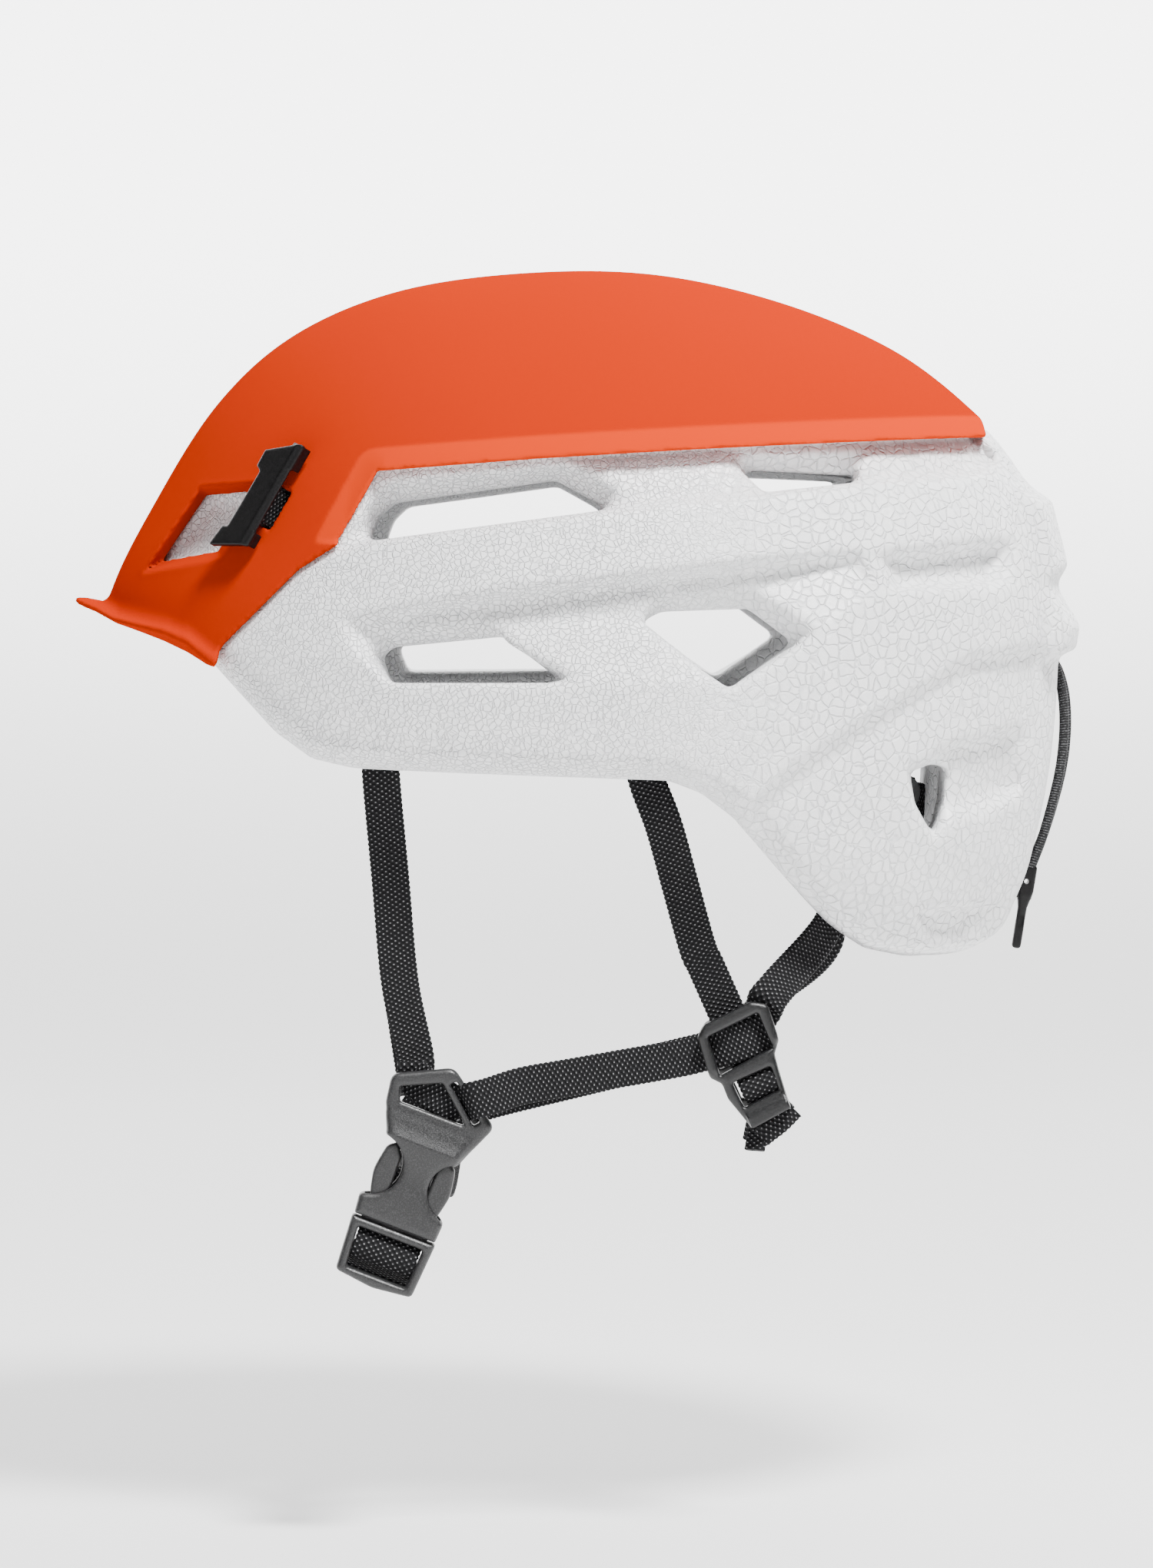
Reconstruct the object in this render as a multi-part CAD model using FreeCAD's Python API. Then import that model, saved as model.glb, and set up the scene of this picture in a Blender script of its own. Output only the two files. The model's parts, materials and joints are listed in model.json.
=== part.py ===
"""Climbing helmet with a foam body, a hard top shell, a webbing harness and a side-release buckle.

Millimetres. The wearer faces -Y, +X is the wearer's left, +Z is up. The origin is the centre of the
head opening, level with the lowest point of the side rim.
"""
import FreeCAD, Part

import math
import os

V = FreeCAD.Vector

# ---------------------------------------------------------------- driving dimensions
HALF_WIDTH = 108.0          # the dome's half width, at the side
DOME_Y, DOME_Z = 0.0, 35.0  # the side pole: every X section is the middle one scaled about this line
ACROSS, AROUND = 2.2, 2.0   # exponents of the dome's oval, across the head and in the side plane
SHELL_T = 2.0               # hard shell's wall
BOND = 0.2                  # glue line between the shell and the foam
CAVITY = V(82.0, 107.0, 97.0)         # half sizes of the head cavity
CAVITY_AT = V(0, -1.0, 20.0)
WEB_W, WEB_T = 10.4, 1.2    # side webbing
CHIN_W = 16.0               # chin webbing
CORD_D = 2.6                # elastic lamp cord
CLEAR = 0.35                # running clearance between moving pieces
FAR = 140.0                 # beyond the part, for cutting tools

# Middle (X = 0) outline of the dome in Y and Z, clockwise from the front.
OUTLINE = [
    (-140, 20), (-136, 50), (-122, 79), (-104, 107), (-82, 126.5), (-52, 139), (-15, 144.2),
    (22, 143.6), (58, 135.5), (90, 122), (113, 104.5), (127, 88), (135, 71), (138.5, 50),
    (138.5, 28), (136.5, 4), (132.5, -17), (127, -35), (112, -62), (70, -88), (0, -98),
    (-80, -80), (-124, -30),
]
# The rim, seen from the side: the foam is kept above it. (Y, Z, corner radius).
RIM = [
    (-150, 55, 0), (-103, 33.5, 6), (-84, 13.5, 10), (-64, 4, 12), (28, 1, 20), (37, -4.5, 16),
    (77, -48.5, 16), (97, -52, 14), (115, -49.5, 8), (150, -38, 0), (150, 160, 0), (-150, 160, 0),
]
# The hard shell's region, seen from the side.
CAP = [
    (-150, 55, 0), (-103, 33.6, 2), (-77.5, 58.6, 2), (-66.4, 65.6, 2), (-55.7, 85.8, 3), (8, 90.6, 60),
    (116, 96.2, 0), (116, 160, 0), (-150, 160, 0),
]
REAR_END = 115.2            # the shell stops here at the back
BRIM_OUT = 9.6              # how far the brim stands out in front
BRIM_T = 2.0
BRIM_LINE = [(-150, 50.5), (-137, 48.0), (-126, 44.6), (-116, 41.2), (-108, 36.8), (-101, 30.6)]

# Side recesses between the ribs and their through holes, as (Y, Z, radius) outlines on the wearer's left.
RECESS_DEPTH = 11.0
RECESSES = {
    "upper_front": [(-64, 67, 3), (-54, 86, 3), (-1, 89.5, 3), (18, 77.2, 3), (6.7, 75.1, 3)],
    "upper_rear": [(34.8, 92, 3), (88, 95, 3), (76, 83.5, 3), (50.2, 80.5, 3)],
    "lower_front": [(-66, 45.7, 3), (-21, 53.4, 3), (-21, 38.4, 3), (2, 28.4, 3), (-51.9, 28.3, 4), (-64.7, 39.4, 3)],
    "lower_middle": [(9.5, 57, 3), (53, 62.4, 3), (54.5, 54.5, 3), (65.4, 40.8, 3), (40.1, 27, 3), (11, 49, 3)],
    "lower_rear": [(78.5, 64, 3), (122, 66.8, 3), (122, 54.6, 3), (84.1, 52.2, 3)],
}
HOLES = {
    "upper_front": [(-57, 66.8, 2), (-53, 75.4, 3), (-7.3, 82.1, 3), (6, 75.4, 2)],
    "upper_rear": [(42, 86.0, 2), (66, 87.6, 2), (78, 82.0, 2), (50, 79.0, 2)],
    "lower_front": [(-51.9, 35.3, 2), (-22.5, 38.2, 3), (-8.6, 28.6, 2), (-51.6, 28.8, 2)],
    "lower_middle": [(17.8, 45.1, 2), (42.9, 47.9, 4), (56.9, 38.8, 4), (40.1, 27.6, 2)],
    "nape": [(91.5, 2.5, 2), (99.5, 4.7, 2), (101.2, -5.6, 3), (98.4, -15.6, 2)],
}
NAPE_RECESS = [(90, 4, 3), (105, 14.5, 4), (140, 22, 0), (140, -15.8, 0), (98.4, -15.8, 3)]
NAPE_RECESS_DEPTH = 7.0
BROW_WINDOW = [(-122.5, 58.2, 1), (-106.8, 81.7, 2), (-88.5, 82.9, 1), (-99.5, 61.9, 2)]
BROW_POCKET_DEPTH = 14.0

# Rear ridges: the middle profile of each as (Y, Z), and where they start inside the foam.
REAR_RIDGES = [
    [(124.7, 85), (135.5, 78), (140.4, 61), (136.9, 54)],
    [(136.9, 54), (144, 42.5), (142.9, 35.5), (137.5, 34)],
]
RIDGE_ROOT_Y = 112.0
RIDGE_HALF = 44.0
RIDGE_STEPS = [-1, -0.85, -0.6, -0.3, 0, 0.3, 0.6, 0.85, 1]

# The harness, at the wearer's left. Y and Z of each webbing's line; X follows from HARNESS_X.
FRONT_TOP, FRONT_END = (-55.0, 2.0), (-47.5, -83.0)
LOWER_START, LOWER_END = (-40.0, -91.5), (31.0, -73.4)
MID_TOP, MID_END = (19.0, 0.0), (39.0, -62.0)
REAR_START = (52.0, -61.5)
YOKE_AT = (40.5, -64.0)     # middle of the yoke's top bar
YOKE_LEAN = 24.0            # degrees its lower end leans back
BUCKLE_AT = (-51.3, -122.8)  # where the two halves of the buckle meet
BUCKLE_LEAN = 21.0          # degrees its lower end leans forward
BUCKLE_X = 75.0
RIGHT_SLACK = 1.09          # the right side's webbing is let out by this much
SLACK_LINE = (0.0, 62.0)    # and hangs lower and wider about this line
YOKE_TRAVEL = 8.0

CLIP_AT = (-86.0, 76.5)     # Y and Z of the lamp clip's middle on the shell
CLIP_LEAN = 29.0            # degrees its lower end leans forward
CLIP_L, CLIP_W = 31.0, 9.4
HINGE_BAR_R = 1.0

PARTS = {}


# ---------------------------------------------------------------- small helpers
def keep(name, shape):
    """Stores a sub-part, and names a solid that isn't sound."""
    if not shape.isValid():
        print("INVALID", name)
    PARTS[name] = shape


def rounded_wire(corners, place):
    """A closed wire with an arc at each corner. corners are (a, b, radius); place maps (a, b) to 3-D."""
    n = len(corners)
    points = [V(c[0], c[1], 0) for c in corners]
    ends = []
    for i, (corner, point) in enumerate(zip(corners, points)):
        to_last = (points[i - 1] - point).normalize()
        to_next = (points[(i + 1) % n] - point).normalize()
        if corner[2] <= 0:
            ends.append((point, None, point))
            continue
        half = to_last.getAngle(to_next) / 2
        cut = corner[2] / math.tan(half)
        middle = (to_last + to_next).normalize() * (corner[2] / math.sin(half) - corner[2])
        ends.append((point + to_last * cut, point + middle, point + to_next * cut))
    edges = []
    for i in range(n):
        start, mid, end = ends[i]
        if mid is not None:
            edges.append(Part.Arc(place(start), place(mid), place(end)).toShape())
        following = ends[(i + 1) % n][0]
        if (following - end).Length > 1e-4:
            edges.append(Part.LineSegment(place(end), place(following)).toShape())
    return Part.Wire(edges)


def side_prism(corners, x_low, x_high):
    """An outline in Y and Z, carried along X from x_low to x_high."""
    wire = rounded_wire(corners, lambda p: V(x_low, p.x, p.y))
    return Part.Face(wire).extrude(V(x_high - x_low, 0, 0))


def both_sides(corners, x_low, x_high):
    """The same outline cut on the left and on the right."""
    return [side_prism(corners, x_low, x_high), side_prism(corners, -x_high, -x_low)]


def mirrored(shape):
    """The same piece on the wearer's right."""
    return shape.mirror(V(0, 0, 0), V(1, 0, 0))


def dome(inset=0.0, width=1.0, shift=0.0):
    """The helmet's outer body, inset all round, narrowed by a share and moved along Y."""
    half = (HALF_WIDTH - inset) * width
    wires = []
    steps = [0, 0.25, 0.45, 0.6, 0.72, 0.82, 0.9, 0.955, 0.985, 0.997]
    for share in [-s for s in reversed(steps[1:])] + steps:
        scale = (1 - abs(share) ** ACROSS) ** (1 / AROUND)
        points = []
        for y, z in OUTLINE:
            arm = V(0, y - DOME_Y, z - DOME_Z)
            arm = arm * ((arm.Length - inset) / arm.Length * scale)
            points.append(V(share * half, DOME_Y + shift + arm.y, DOME_Z + arm.z))
        curve = Part.BSplineCurve()
        curve.interpolate(Points=points, PeriodicFlag=True)
        wires.append(Part.Wire([curve.toShape()]))
    return Part.makeLoft(wires, True, False)


def middle_radius(y, z):
    """The outline's distance from the side pole in the direction of (y, z), along straight chords."""
    angle = math.atan2(z - DOME_Z, y - DOME_Y)
    best = None
    for (y1, z1), (y2, z2) in zip(OUTLINE, OUTLINE[1:] + OUTLINE[:1]):
        a, b = V(y1 - DOME_Y, z1 - DOME_Z, 0), V(y2 - DOME_Y, z2 - DOME_Z, 0)
        ray = V(math.cos(angle), math.sin(angle), 0)
        side = b - a
        cross = ray.x * side.y - ray.y * side.x
        if abs(cross) < 1e-9:
            continue
        along = (a.x * side.y - a.y * side.x) / cross
        part = (a.x * ray.y - a.y * ray.x) / cross
        if along > 0 and -1e-9 <= part <= 1 + 1e-9:
            best = along
    return best


def dome_x(y, z, inset=0.0):
    """The dome's half width at (y, z)."""
    share = math.hypot(y - DOME_Y, z - DOME_Z) / (middle_radius(y, z) - inset)
    return (HALF_WIDTH - inset) * max(0.0, 1 - share ** AROUND) ** (1 / ACROSS)


def dome_normal(y, z):
    """The outward normal of the dome at (y, z), on the wearer's left."""
    step = 1.0
    slope_y = (dome_x(y + step, z) - dome_x(y - step, z)) / (2 * step)
    slope_z = (dome_x(y, z + step) - dome_x(y, z - step)) / (2 * step)
    return V(1, -slope_y, -slope_z).normalize()


def cavity(inset=0.0):
    """The space for the head: half an ellipsoid over an oval prism, open downwards."""
    size = CAVITY - V(inset, inset, inset)
    matrix = FreeCAD.Matrix()
    matrix.scale(size)
    ball = Part.makeSphere(1.0).transformGeometry(matrix)
    ball.translate(CAVITY_AT)
    oval = Part.Ellipse(V(0, 0, 0), size.y, size.x).toShape()
    column = Part.Face(Part.Wire([oval])).extrude(V(0, 0, -FAR))
    column.rotate(V(0, 0, 0), V(0, 0, 1), 90)
    column.translate(CAVITY_AT)
    return ball.fuse(column)


def cavity_x(y, z, inset=0.0):
    """The cavity's half width at (y, z)."""
    size = CAVITY - V(inset, inset, inset)
    rest = 1 - ((y - CAVITY_AT.y) / size.y) ** 2 - (max(0.0, z - CAVITY_AT.z) / size.z) ** 2
    return size.x * math.sqrt(max(0.0, rest))


def ribbon(stations, thickness=WEB_T):
    """A strip of webbing. Each station is (middle point, width vector, face normal)."""
    rings = []
    for middle, width, normal in stations:
        half_w, half_t = width * 0.5, V(normal).normalize() * (thickness / 2)
        rings.append([middle - half_w - half_t, middle + half_w - half_t,
                      middle + half_w + half_t, middle - half_w + half_t])
    faces = []

    def triangle(a, b, c):
        faces.append(Part.Face(Part.makePolygon([a, b, c, a])))

    for first, second in zip(rings, rings[1:]):
        for i in range(4):
            j = (i + 1) % 4
            triangle(first[i], first[j], second[j])
            triangle(first[i], second[j], second[i])
    for ring in (rings[0], rings[-1]):
        triangle(ring[0], ring[1], ring[2])
        triangle(ring[0], ring[2], ring[3])
    shell = Part.Shell(faces)
    shell.sewShape()
    solid = Part.Solid(shell)
    if solid.Volume < 0:
        solid.reverse()
    return solid


def strip(points, width, normals):
    """Stations for a ribbon through points: its width is square to its run and to each normal."""
    stations = []
    for i, point in enumerate(points):
        run = points[min(i + 1, len(points) - 1)] - points[max(i - 1, 0)]
        normal = normals[i] if isinstance(normals, list) else normals
        across = run.cross(normal).normalize() * width
        stations.append((point, across, across.cross(run)))
    return stations


class Local:
    """A flat working frame: a runs along, b across and n out of its plane."""

    def __init__(self, origin, along, across):
        self.origin = origin
        self.a = V(along).normalize()
        self.n = V(across).cross(self.a).normalize()
        self.b = self.a.cross(self.n).normalize()

    def height(self, point):
        return (point - self.origin).dot(self.n)

    def at(self, b, a, n=0.0):
        return self.origin + self.b * b + self.a * a + self.n * n

    def plate(self, corners, n_low, n_high, holes=(), soft=0.0):
        """A flat piece with an outline of (b, a, radius), between two heights, its outer rim softened."""
        body = self.face(corners, n_low).extrude(self.n * (n_high - n_low))
        if soft:
            rim = [e for e in body.Edges if all(abs(self.height(v.Point) - n_high) < 1e-3 for v in e.Vertexes)]
            body = body.makeFillet(soft, rim)
        for hole in holes:
            body = body.cut(self.face(hole, n_low - 1).extrude(self.n * (n_high - n_low + 2)))
        return body

    def face(self, corners, n):
        return Part.Face(rounded_wire(corners, lambda p: self.at(p.x, p.y, n)))


def block(b_low, b_high, a_low, a_high, radius=0.0):
    """A rectangle's corners, for Local.plate."""
    return [(b_low, a_low, radius), (b_high, a_low, radius), (b_high, a_high, radius), (b_low, a_high, radius)]


def side_frame(at, lean, x):
    """A frame in the side plane: a points down, leaning by lean degrees towards the back; n points out."""
    turn = math.radians(lean)
    along = V(0, math.sin(turn), -math.cos(turn))
    forward = V(0, -math.cos(turn), -math.sin(turn))
    return Local(V(x, at[0], at[1]), along, forward)


# ---------------------------------------------------------------- foam body and hard shell
def clip_frame():
    """The lamp clip's frame on the shell: a down the clip, b towards the front, n out of the shell."""
    y, z = CLIP_AT
    normal = dome_normal(y, z)
    turn = math.radians(CLIP_LEAN)
    down = V(0, -math.sin(turn), -math.cos(turn))
    down = (down - normal * down.dot(normal)).normalize()
    frame = Local(V(dome_x(y, z), y, z), down, V(0, -1, 0))
    frame.n = normal
    frame.b = down.cross(normal).normalize()
    if frame.b.y > 0:
        frame.b = frame.b * -1
    return frame


def rear_ridge(profile):
    """A horizontal ridge that follows the dome round the back and dies out at both ends."""
    wires = []
    for step in RIDGE_STEPS:
        x = step * RIDGE_HALF
        shrink = (1 - abs(x / HALF_WIDTH) ** ACROSS) ** (1 / AROUND)
        sink = 7.0 * abs(step) ** 3
        corners = [V(x, y * shrink - sink, DOME_Z + (z - DOME_Z) * shrink) for y, z in profile]
        corners += [V(x, RIDGE_ROOT_Y * shrink, corners[-1].z), V(x, RIDGE_ROOT_Y * shrink, corners[0].z)]
        wires.append(Part.makePolygon(corners + corners[:1]))
    return Part.makeLoft(wires, True, True)


def foam_body():
    inset = SHELL_T + BOND
    body = dome(inset).common(side_prism(RIM, -FAR, FAR))
    for profile in REAR_RIDGES:
        body = body.fuse(rear_ridge(profile))
    skin = dome(inset).cut(dome(inset + RECESS_DEPTH))
    for corners in RECESSES.values():
        for tool in both_sides(corners, 40, FAR):
            body = body.cut(skin.common(tool))
    thin = dome(inset).cut(dome(inset + NAPE_RECESS_DEPTH))
    for tool in both_sides(NAPE_RECESS, 30, FAR):
        body = body.cut(thin.common(tool))
    brow = dome(0).cut(dome(inset + BROW_POCKET_DEPTH))
    for tool in both_sides(BROW_WINDOW, 25, FAR):
        body = body.cut(brow.common(tool))
    body = body.cut(cavity())
    for corners in HOLES.values():
        for tool in both_sides(corners, 25, FAR):
            body = body.cut(tool)
    return body


def hard_shell():
    region = side_prism(CAP, -FAR, FAR)
    wall = dome().cut(dome(SHELL_T)).common(region)
    wall = wall.cut(Part.makeBox(2 * FAR, 40, 2 * FAR, V(-FAR, REAR_END, -FAR)))
    lower = [(y, z, 0) for y, z in BRIM_LINE]
    upper = [(y, z + BRIM_T, 0) for y, z in reversed(BRIM_LINE)]
    sheet = side_prism(lower + upper, -FAR, FAR)
    brim = sheet.common(dome(0, 0.95, -BRIM_OUT)).cut(dome(SHELL_T))
    shell = wall.fuse(brim).removeSplitter()
    for tool in both_sides(BROW_WINDOW, 25, FAR):
        shell = shell.cut(tool)
    return shell


SLOT_HALF = WEB_W / 2 + 0.8
SLOT = (-6.2, 0.8)          # the strap slot under each lamp clip, across the clip


def strap_slot(frame):
    """The slot that the front webbing takes through shell and foam to its lamp clip."""
    return frame.plate(block(SLOT[0], SLOT[1], -SLOT_HALF, SLOT_HALF), -45, 3)


# ---------------------------------------------------------------- lamp clips and the front webbing
BAR_B, BAR_N = -2.6, 2.0    # the clip's hinge bar, across the clip and above the shell
PLATE_N = (4.8, 6.6)


def lamp_clip(frame):
    """A flat I-shaped hook on two feet, with a bar under it that the webbing loops round."""
    half_w, half_l, hook = CLIP_W / 2, CLIP_L / 2, 4.0
    outline = [
        (-half_w, -half_l, 0.8), (half_w + hook, -half_l + 1.5, 0.8), (half_w + hook, -half_l + 6.5, 0.8),
        (half_w, -half_l + 6.5, 0.5), (half_w, half_l - 5, 0.5), (half_w + hook, half_l - 5, 0.8),
        (half_w + hook, half_l - 0.5, 0.8), (-half_w, half_l, 0.8),
    ]
    clip = frame.plate(outline, *PLATE_N, soft=0.4)
    foot = 3.6
    for low in (-half_l, half_l - foot):
        clip = clip.fuse(frame.plate(block(-half_w, BAR_B + 2.2, low, low + foot, 0.4), 1.3, PLATE_N[0] + 0.1))
    bar = Part.makeCylinder(HINGE_BAR_R, CLIP_L - 2, frame.at(BAR_B, -half_l + 1, BAR_N), frame.a)
    return clip.fuse(bar).removeSplitter()


LOOP_R = HINGE_BAR_R + CLEAR + WEB_T / 2
LOOP_T = 1.0


def front_webbing_inside(frame, top):
    """Stations from the loop round the clip's bar, through the slot, down the cavity wall to the rim."""
    across = frame.a * WEB_W
    stations = [(frame.at(BAR_B + LOOP_R, 0, -14), across, frame.b)]
    for step in range(7):
        angle = math.pi * step / 6
        point = frame.at(BAR_B + LOOP_R * math.cos(angle), 0, BAR_N + LOOP_R * math.sin(angle))
        normal = frame.b * math.cos(angle) + frame.n * math.sin(angle)
        stations.append((point, across, normal))
    low = frame.at(BAR_B - LOOP_R, 0, -27.5)
    stations.append((frame.at(BAR_B - LOOP_R, 0, -22), across, frame.b * -1))
    points, normals = [low], [V(-1, 0.35, 0)]
    for share in (0.3, 0.5, 0.7, 0.88, 1.0):
        y = low.y + (top[0] - low.y) * share
        z = low.z + (top[1] + 6 - low.z) * share
        points.append(V(cavity_x(y, z, 1.6), y, z))
        normals.append(V(-1, 0, 0))
    return stations, points, normals


# ---------------------------------------------------------------- harness webbing
def harness_x(z):
    """How far out the side webbing hangs: in line with the rim, drawn in a little lower down."""
    return 79.5 + (BUCKLE_X - 1.9 - 79.5) * min(1.0, max(0.0, -z / 85.0))


def eased(point, right):
    """A harness point, and on the right the same point with that side's webbing let out."""
    y, z = point
    if right:
        y = SLACK_LINE[0] + (y - SLACK_LINE[0]) * RIGHT_SLACK
        z = SLACK_LINE[1] + (z - SLACK_LINE[1]) * RIGHT_SLACK
    return y, z


def hanging(start, end, right, bow=0.0, count=4):
    """Points down a free stretch of webbing, with a slight bow outwards."""
    (y1, z1), (y2, z2) = eased(start, right), eased(end, right)
    points = []
    for i in range(count + 1):
        t = i / count
        y, z = y1 + (y2 - y1) * t, z1 + (z2 - z1) * t
        points.append(V(harness_x(z) + bow * math.sin(math.pi * t), y, z))
    return points


def long_webbing(right):
    """One piece of webbing: lamp clip, rim, buckle frame, yoke, and up to the nape anchor."""
    frame = clip_frame()
    out = V(1, 0, 0)
    loop, wall, wall_normals = front_webbing_inside(frame, eased(FRONT_TOP, right))
    free = hanging(FRONT_TOP, FRONT_END, right)
    front = wall + free
    stations = strip(front, WEB_W, [n * -1 for n in wall_normals] + [out] * len(free))
    front_piece = ribbon(stations)
    join = (front[0], frame.a * WEB_W, V(-1, 0.35, 0))
    loop_piece = ribbon(loop + [join], LOOP_T)
    lower = hanging(LOWER_START, LOWER_END, right)
    lower_piece = ribbon(strip(lower, WEB_W, out), WEB_T * 0.98)
    corner = ribbon(strip([free[-2] * 0.1 + free[-1] * 0.9, lower[0] * 0.9 + lower[1] * 0.1], WEB_W, out), WEB_T)
    through = [lower[-1], hanging(REAR_START, REAR_START, right)[0]]
    for y, z in (eased(NAPE_ENTRY, right), *NAPE_ROUTE, NAPE_ANCHOR, *NAPE_END):
        through.append(wall_point(y, z, WALL_GAP))
    normals = [out, out] + [wall_normal(p.y, p.z) for p in through[2:]]
    rear_piece = ribbon(strip(through, WEB_W, normals)).cut(stud_hole(*NAPE_ANCHOR))
    web = front_piece
    for piece in (loop_piece, lower_piece, corner, rear_piece):
        web = web.fuse(piece)
    return web


NAPE_ENTRY = (70.0, -42.0)  # where the long webbing goes in behind the foam's edge
NAPE_ROUTE = [(76.0, -26.0), (81.0, -12.0)]
NAPE_ANCHOR = (84.0, -3.5)
NAPE_END = [(92.5, -1.0), (100.5, -3.5)]   # the sewn end reaches on round the nape
MID_ANCHOR = (13.0, 24.0)
WALL_GAP = 3.2              # the webbing's middle plane inside the cavity's wall


def wall_normal(y, z):
    """The level outward normal of the cavity's wall, on the wearer's left."""
    return V(cavity_x(y, z) / CAVITY.x ** 2, (y - CAVITY_AT.y) / CAVITY.y ** 2, 0).normalize()


def wall_point(y, z, inset):
    """A point inside the cavity's wall by a distance square to the wall."""
    return V(cavity_x(y, z), y, z) - wall_normal(y, z) * inset


def yoke_frame(right):
    y, z = eased(YOKE_AT, right)
    return side_frame((y, z), YOKE_LEAN, harness_x(z))


def yoke(right):
    """Divider buckle: a window for the long webbing over a ladder lock for the middle one."""
    frame = yoke_frame(right)
    outline = [
        (-11.2, 0, 3), (10.6, 0, 3), (11.4, 13.6, 2), (8.8, 16.6, 1.5), (8.6, 20.5, 4), (6.4, 31.0, 0.8),
        (-6.2, 31.0, 0.8), (-7.6, 20.5, 4), (-7.4, 16.4, 1.5), (-10.4, 13.2, 2),
    ]
    window = [(-8.0, 2.9, 0.8), (7.6, 2.9, 0.8), (8.4, 14.2, 0.8), (-7.4, 13.4, 0.8)]
    slots = [block(-5.8, 5.8, 16.6, 21.0, 0.6), block(-5.8, 5.8, 22.6, 27.0, 0.6)]
    return frame.plate(outline, 1.0, 3.9, [window, *slots], soft=0.4)


def middle_webbing(right):
    """From its anchor in the foam, behind the yoke, round the ladder bar and down to its sewn tail."""
    frame = yoke_frame(right)
    y, z = eased(MID_TOP, right)
    points, normals = [], []
    for share in (-0.3, 0.5, 1.0):
        ya, za = MID_ANCHOR[0] + (y - MID_ANCHOR[0]) * share, MID_ANCHOR[1] + (z - MID_ANCHOR[1]) * share
        points.append(wall_point(ya, za, WALL_GAP))
        normals.append(wall_normal(ya, za))
    for point in hanging(MID_TOP, MID_END, right)[1:]:
        points.append(point - V(2.1, 0, 0))
        normals.append(V(1, 0, 0))
    lock = [(12.0, -2.9), (15.5, -2.0), (18.2, 1.6), (19.8, 4.2), (21.0, 5.3), (22.6, 5.3), (23.8, 4.2),
            (25.2, 1.6), (28.0, -0.8), (33.0, -1.6), (38.0, -2.6)]
    points += [frame.at(0, a, n) for a, n in lock]
    normals += [V(1, 0, 0)] * len(lock)
    return ribbon(strip(points, WEB_W, normals), 1.0).cut(stud_hole(*MID_ANCHOR))


# ---------------------------------------------------------------- buckle
def buckle_frame():
    return side_frame(BUCKLE_AT, -BUCKLE_LEAN, BUCKLE_X)


HALF_BUCKLE = 12.1
CASE_N = (-1.0, 6.0)        # the socket's back and front faces
CORE_N = (0.6, 4.4)         # the hollow that the prongs slide in


SOCKET_FRAME = [
    (11.5, -24.5, 2), (14.8, -31.9, 6), (16.2, -39.0, 3), (0.6, -47.0, 3.5), (-16.0, -35.0, 3), (-12.2, -26.0, 6),
    (-11.0, -22.8, 0.8),
]
SOCKET_WINDOW = [(12.3, -36.8, 1), (1.8, -41.7, 0.8), (-8.1, -33.2, 0.6), (10.8, -33.2, 1)]
SOCKET_SLOT = [(-0.9, -42.0, 0.4), (-2.0, -43.2, 0.4), (-10.8, -35.8, 0.4), (-9.6, -34.4, 0.4)]
SOCKET_BODY = [(-12.0, 0, 0.8), (12.0, 0, 0.8), (12.6, -5.4, 1.4), (11.6, -28.0, 2), (-11.4, -28.0, 2), (-12.6, -5.4, 1.4)]
WAIST_R, WAIST_B, WAIST_A = 8.6, 13.6, -14.8


def buckle_socket(frame, frame_only=False):
    """The female half: a slanted webbing frame on a flat case, waisted so that the prongs show."""
    ring = frame.plate(SOCKET_FRAME, 0.0, 3.2, [SOCKET_WINDOW, SOCKET_SLOT], soft=0.6)
    if frame_only:
        return ring
    case = frame.plate(SOCKET_BODY, *CASE_N, soft=0.6)
    for side in (-1, 1):
        finger = Part.makeCylinder(WAIST_R, 20, frame.at(side * WAIST_B, WAIST_A, -10), frame.n)
        case = case.cut(finger)
    hollow = frame.plate(block(-11.0, 11.0, -23.5, 1, 0.5), *CORE_N)
    return ring.fuse(case.cut(hollow)).removeSplitter()


PRONG_ROOT = -3.0


def buckle_prong(frame, side):
    """A springy side arm of the plug, with the pad that a finger presses."""
    inner, outer = side * 6.2, side * 9.6
    arm = [
        (inner, PRONG_ROOT, 0), (outer, PRONG_ROOT, 0), (side * 9.4, -8.0, 1.0), (side * 10.6, -12.5, 2.0),
        (side * 9.8, -18.8, 1.0), (side * 7.0, -21.5, 0.8), (side * 5.8, -18.5, 0.8),
    ]
    if side < 0:
        arm = list(reversed(arm))
    return frame.plate(arm, CORE_N[0] + CLEAR, CORE_N[1] - CLEAR)


def buckle_plug(frame):
    """The male half: a centre tongue and a ladder lock for the chin webbing."""
    low, high = CORE_N[0] + CLEAR, CORE_N[1] - CLEAR
    tongue = frame.plate(block(-2.2, 2.2, -19.0, 1.5, 1.0), low, high)
    root = frame.plate(block(-9.6, 9.6, PRONG_ROOT + 0.4, 1.5), low, high)
    outline = [(-12.3, CLEAR, 1), (12.3, CLEAR, 1), (11.3, 16.0, 1.6), (0, 17.2, 40), (-11.3, 16.0, 1.6)]
    slots = [block(-8.6, 8.6, 3.0, 6.8, 0.8), block(-8.6, 8.6, 9.4, 13.2, 0.8)]
    lock = frame.plate(outline, CASE_N[0], CASE_N[1] - 0.4, slots, soft=0.6)
    return tongue.fuse(root).fuse(lock).removeSplitter()


def right_ring_frame():
    """The right-hand webbing frame stands where that side's webbing meets the chin webbing."""
    y, z = eased(BUCKLE_AT, True)
    return side_frame((y, z), -BUCKLE_LEAN, BUCKLE_X)


CHIN_TAIL = 26.0


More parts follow.
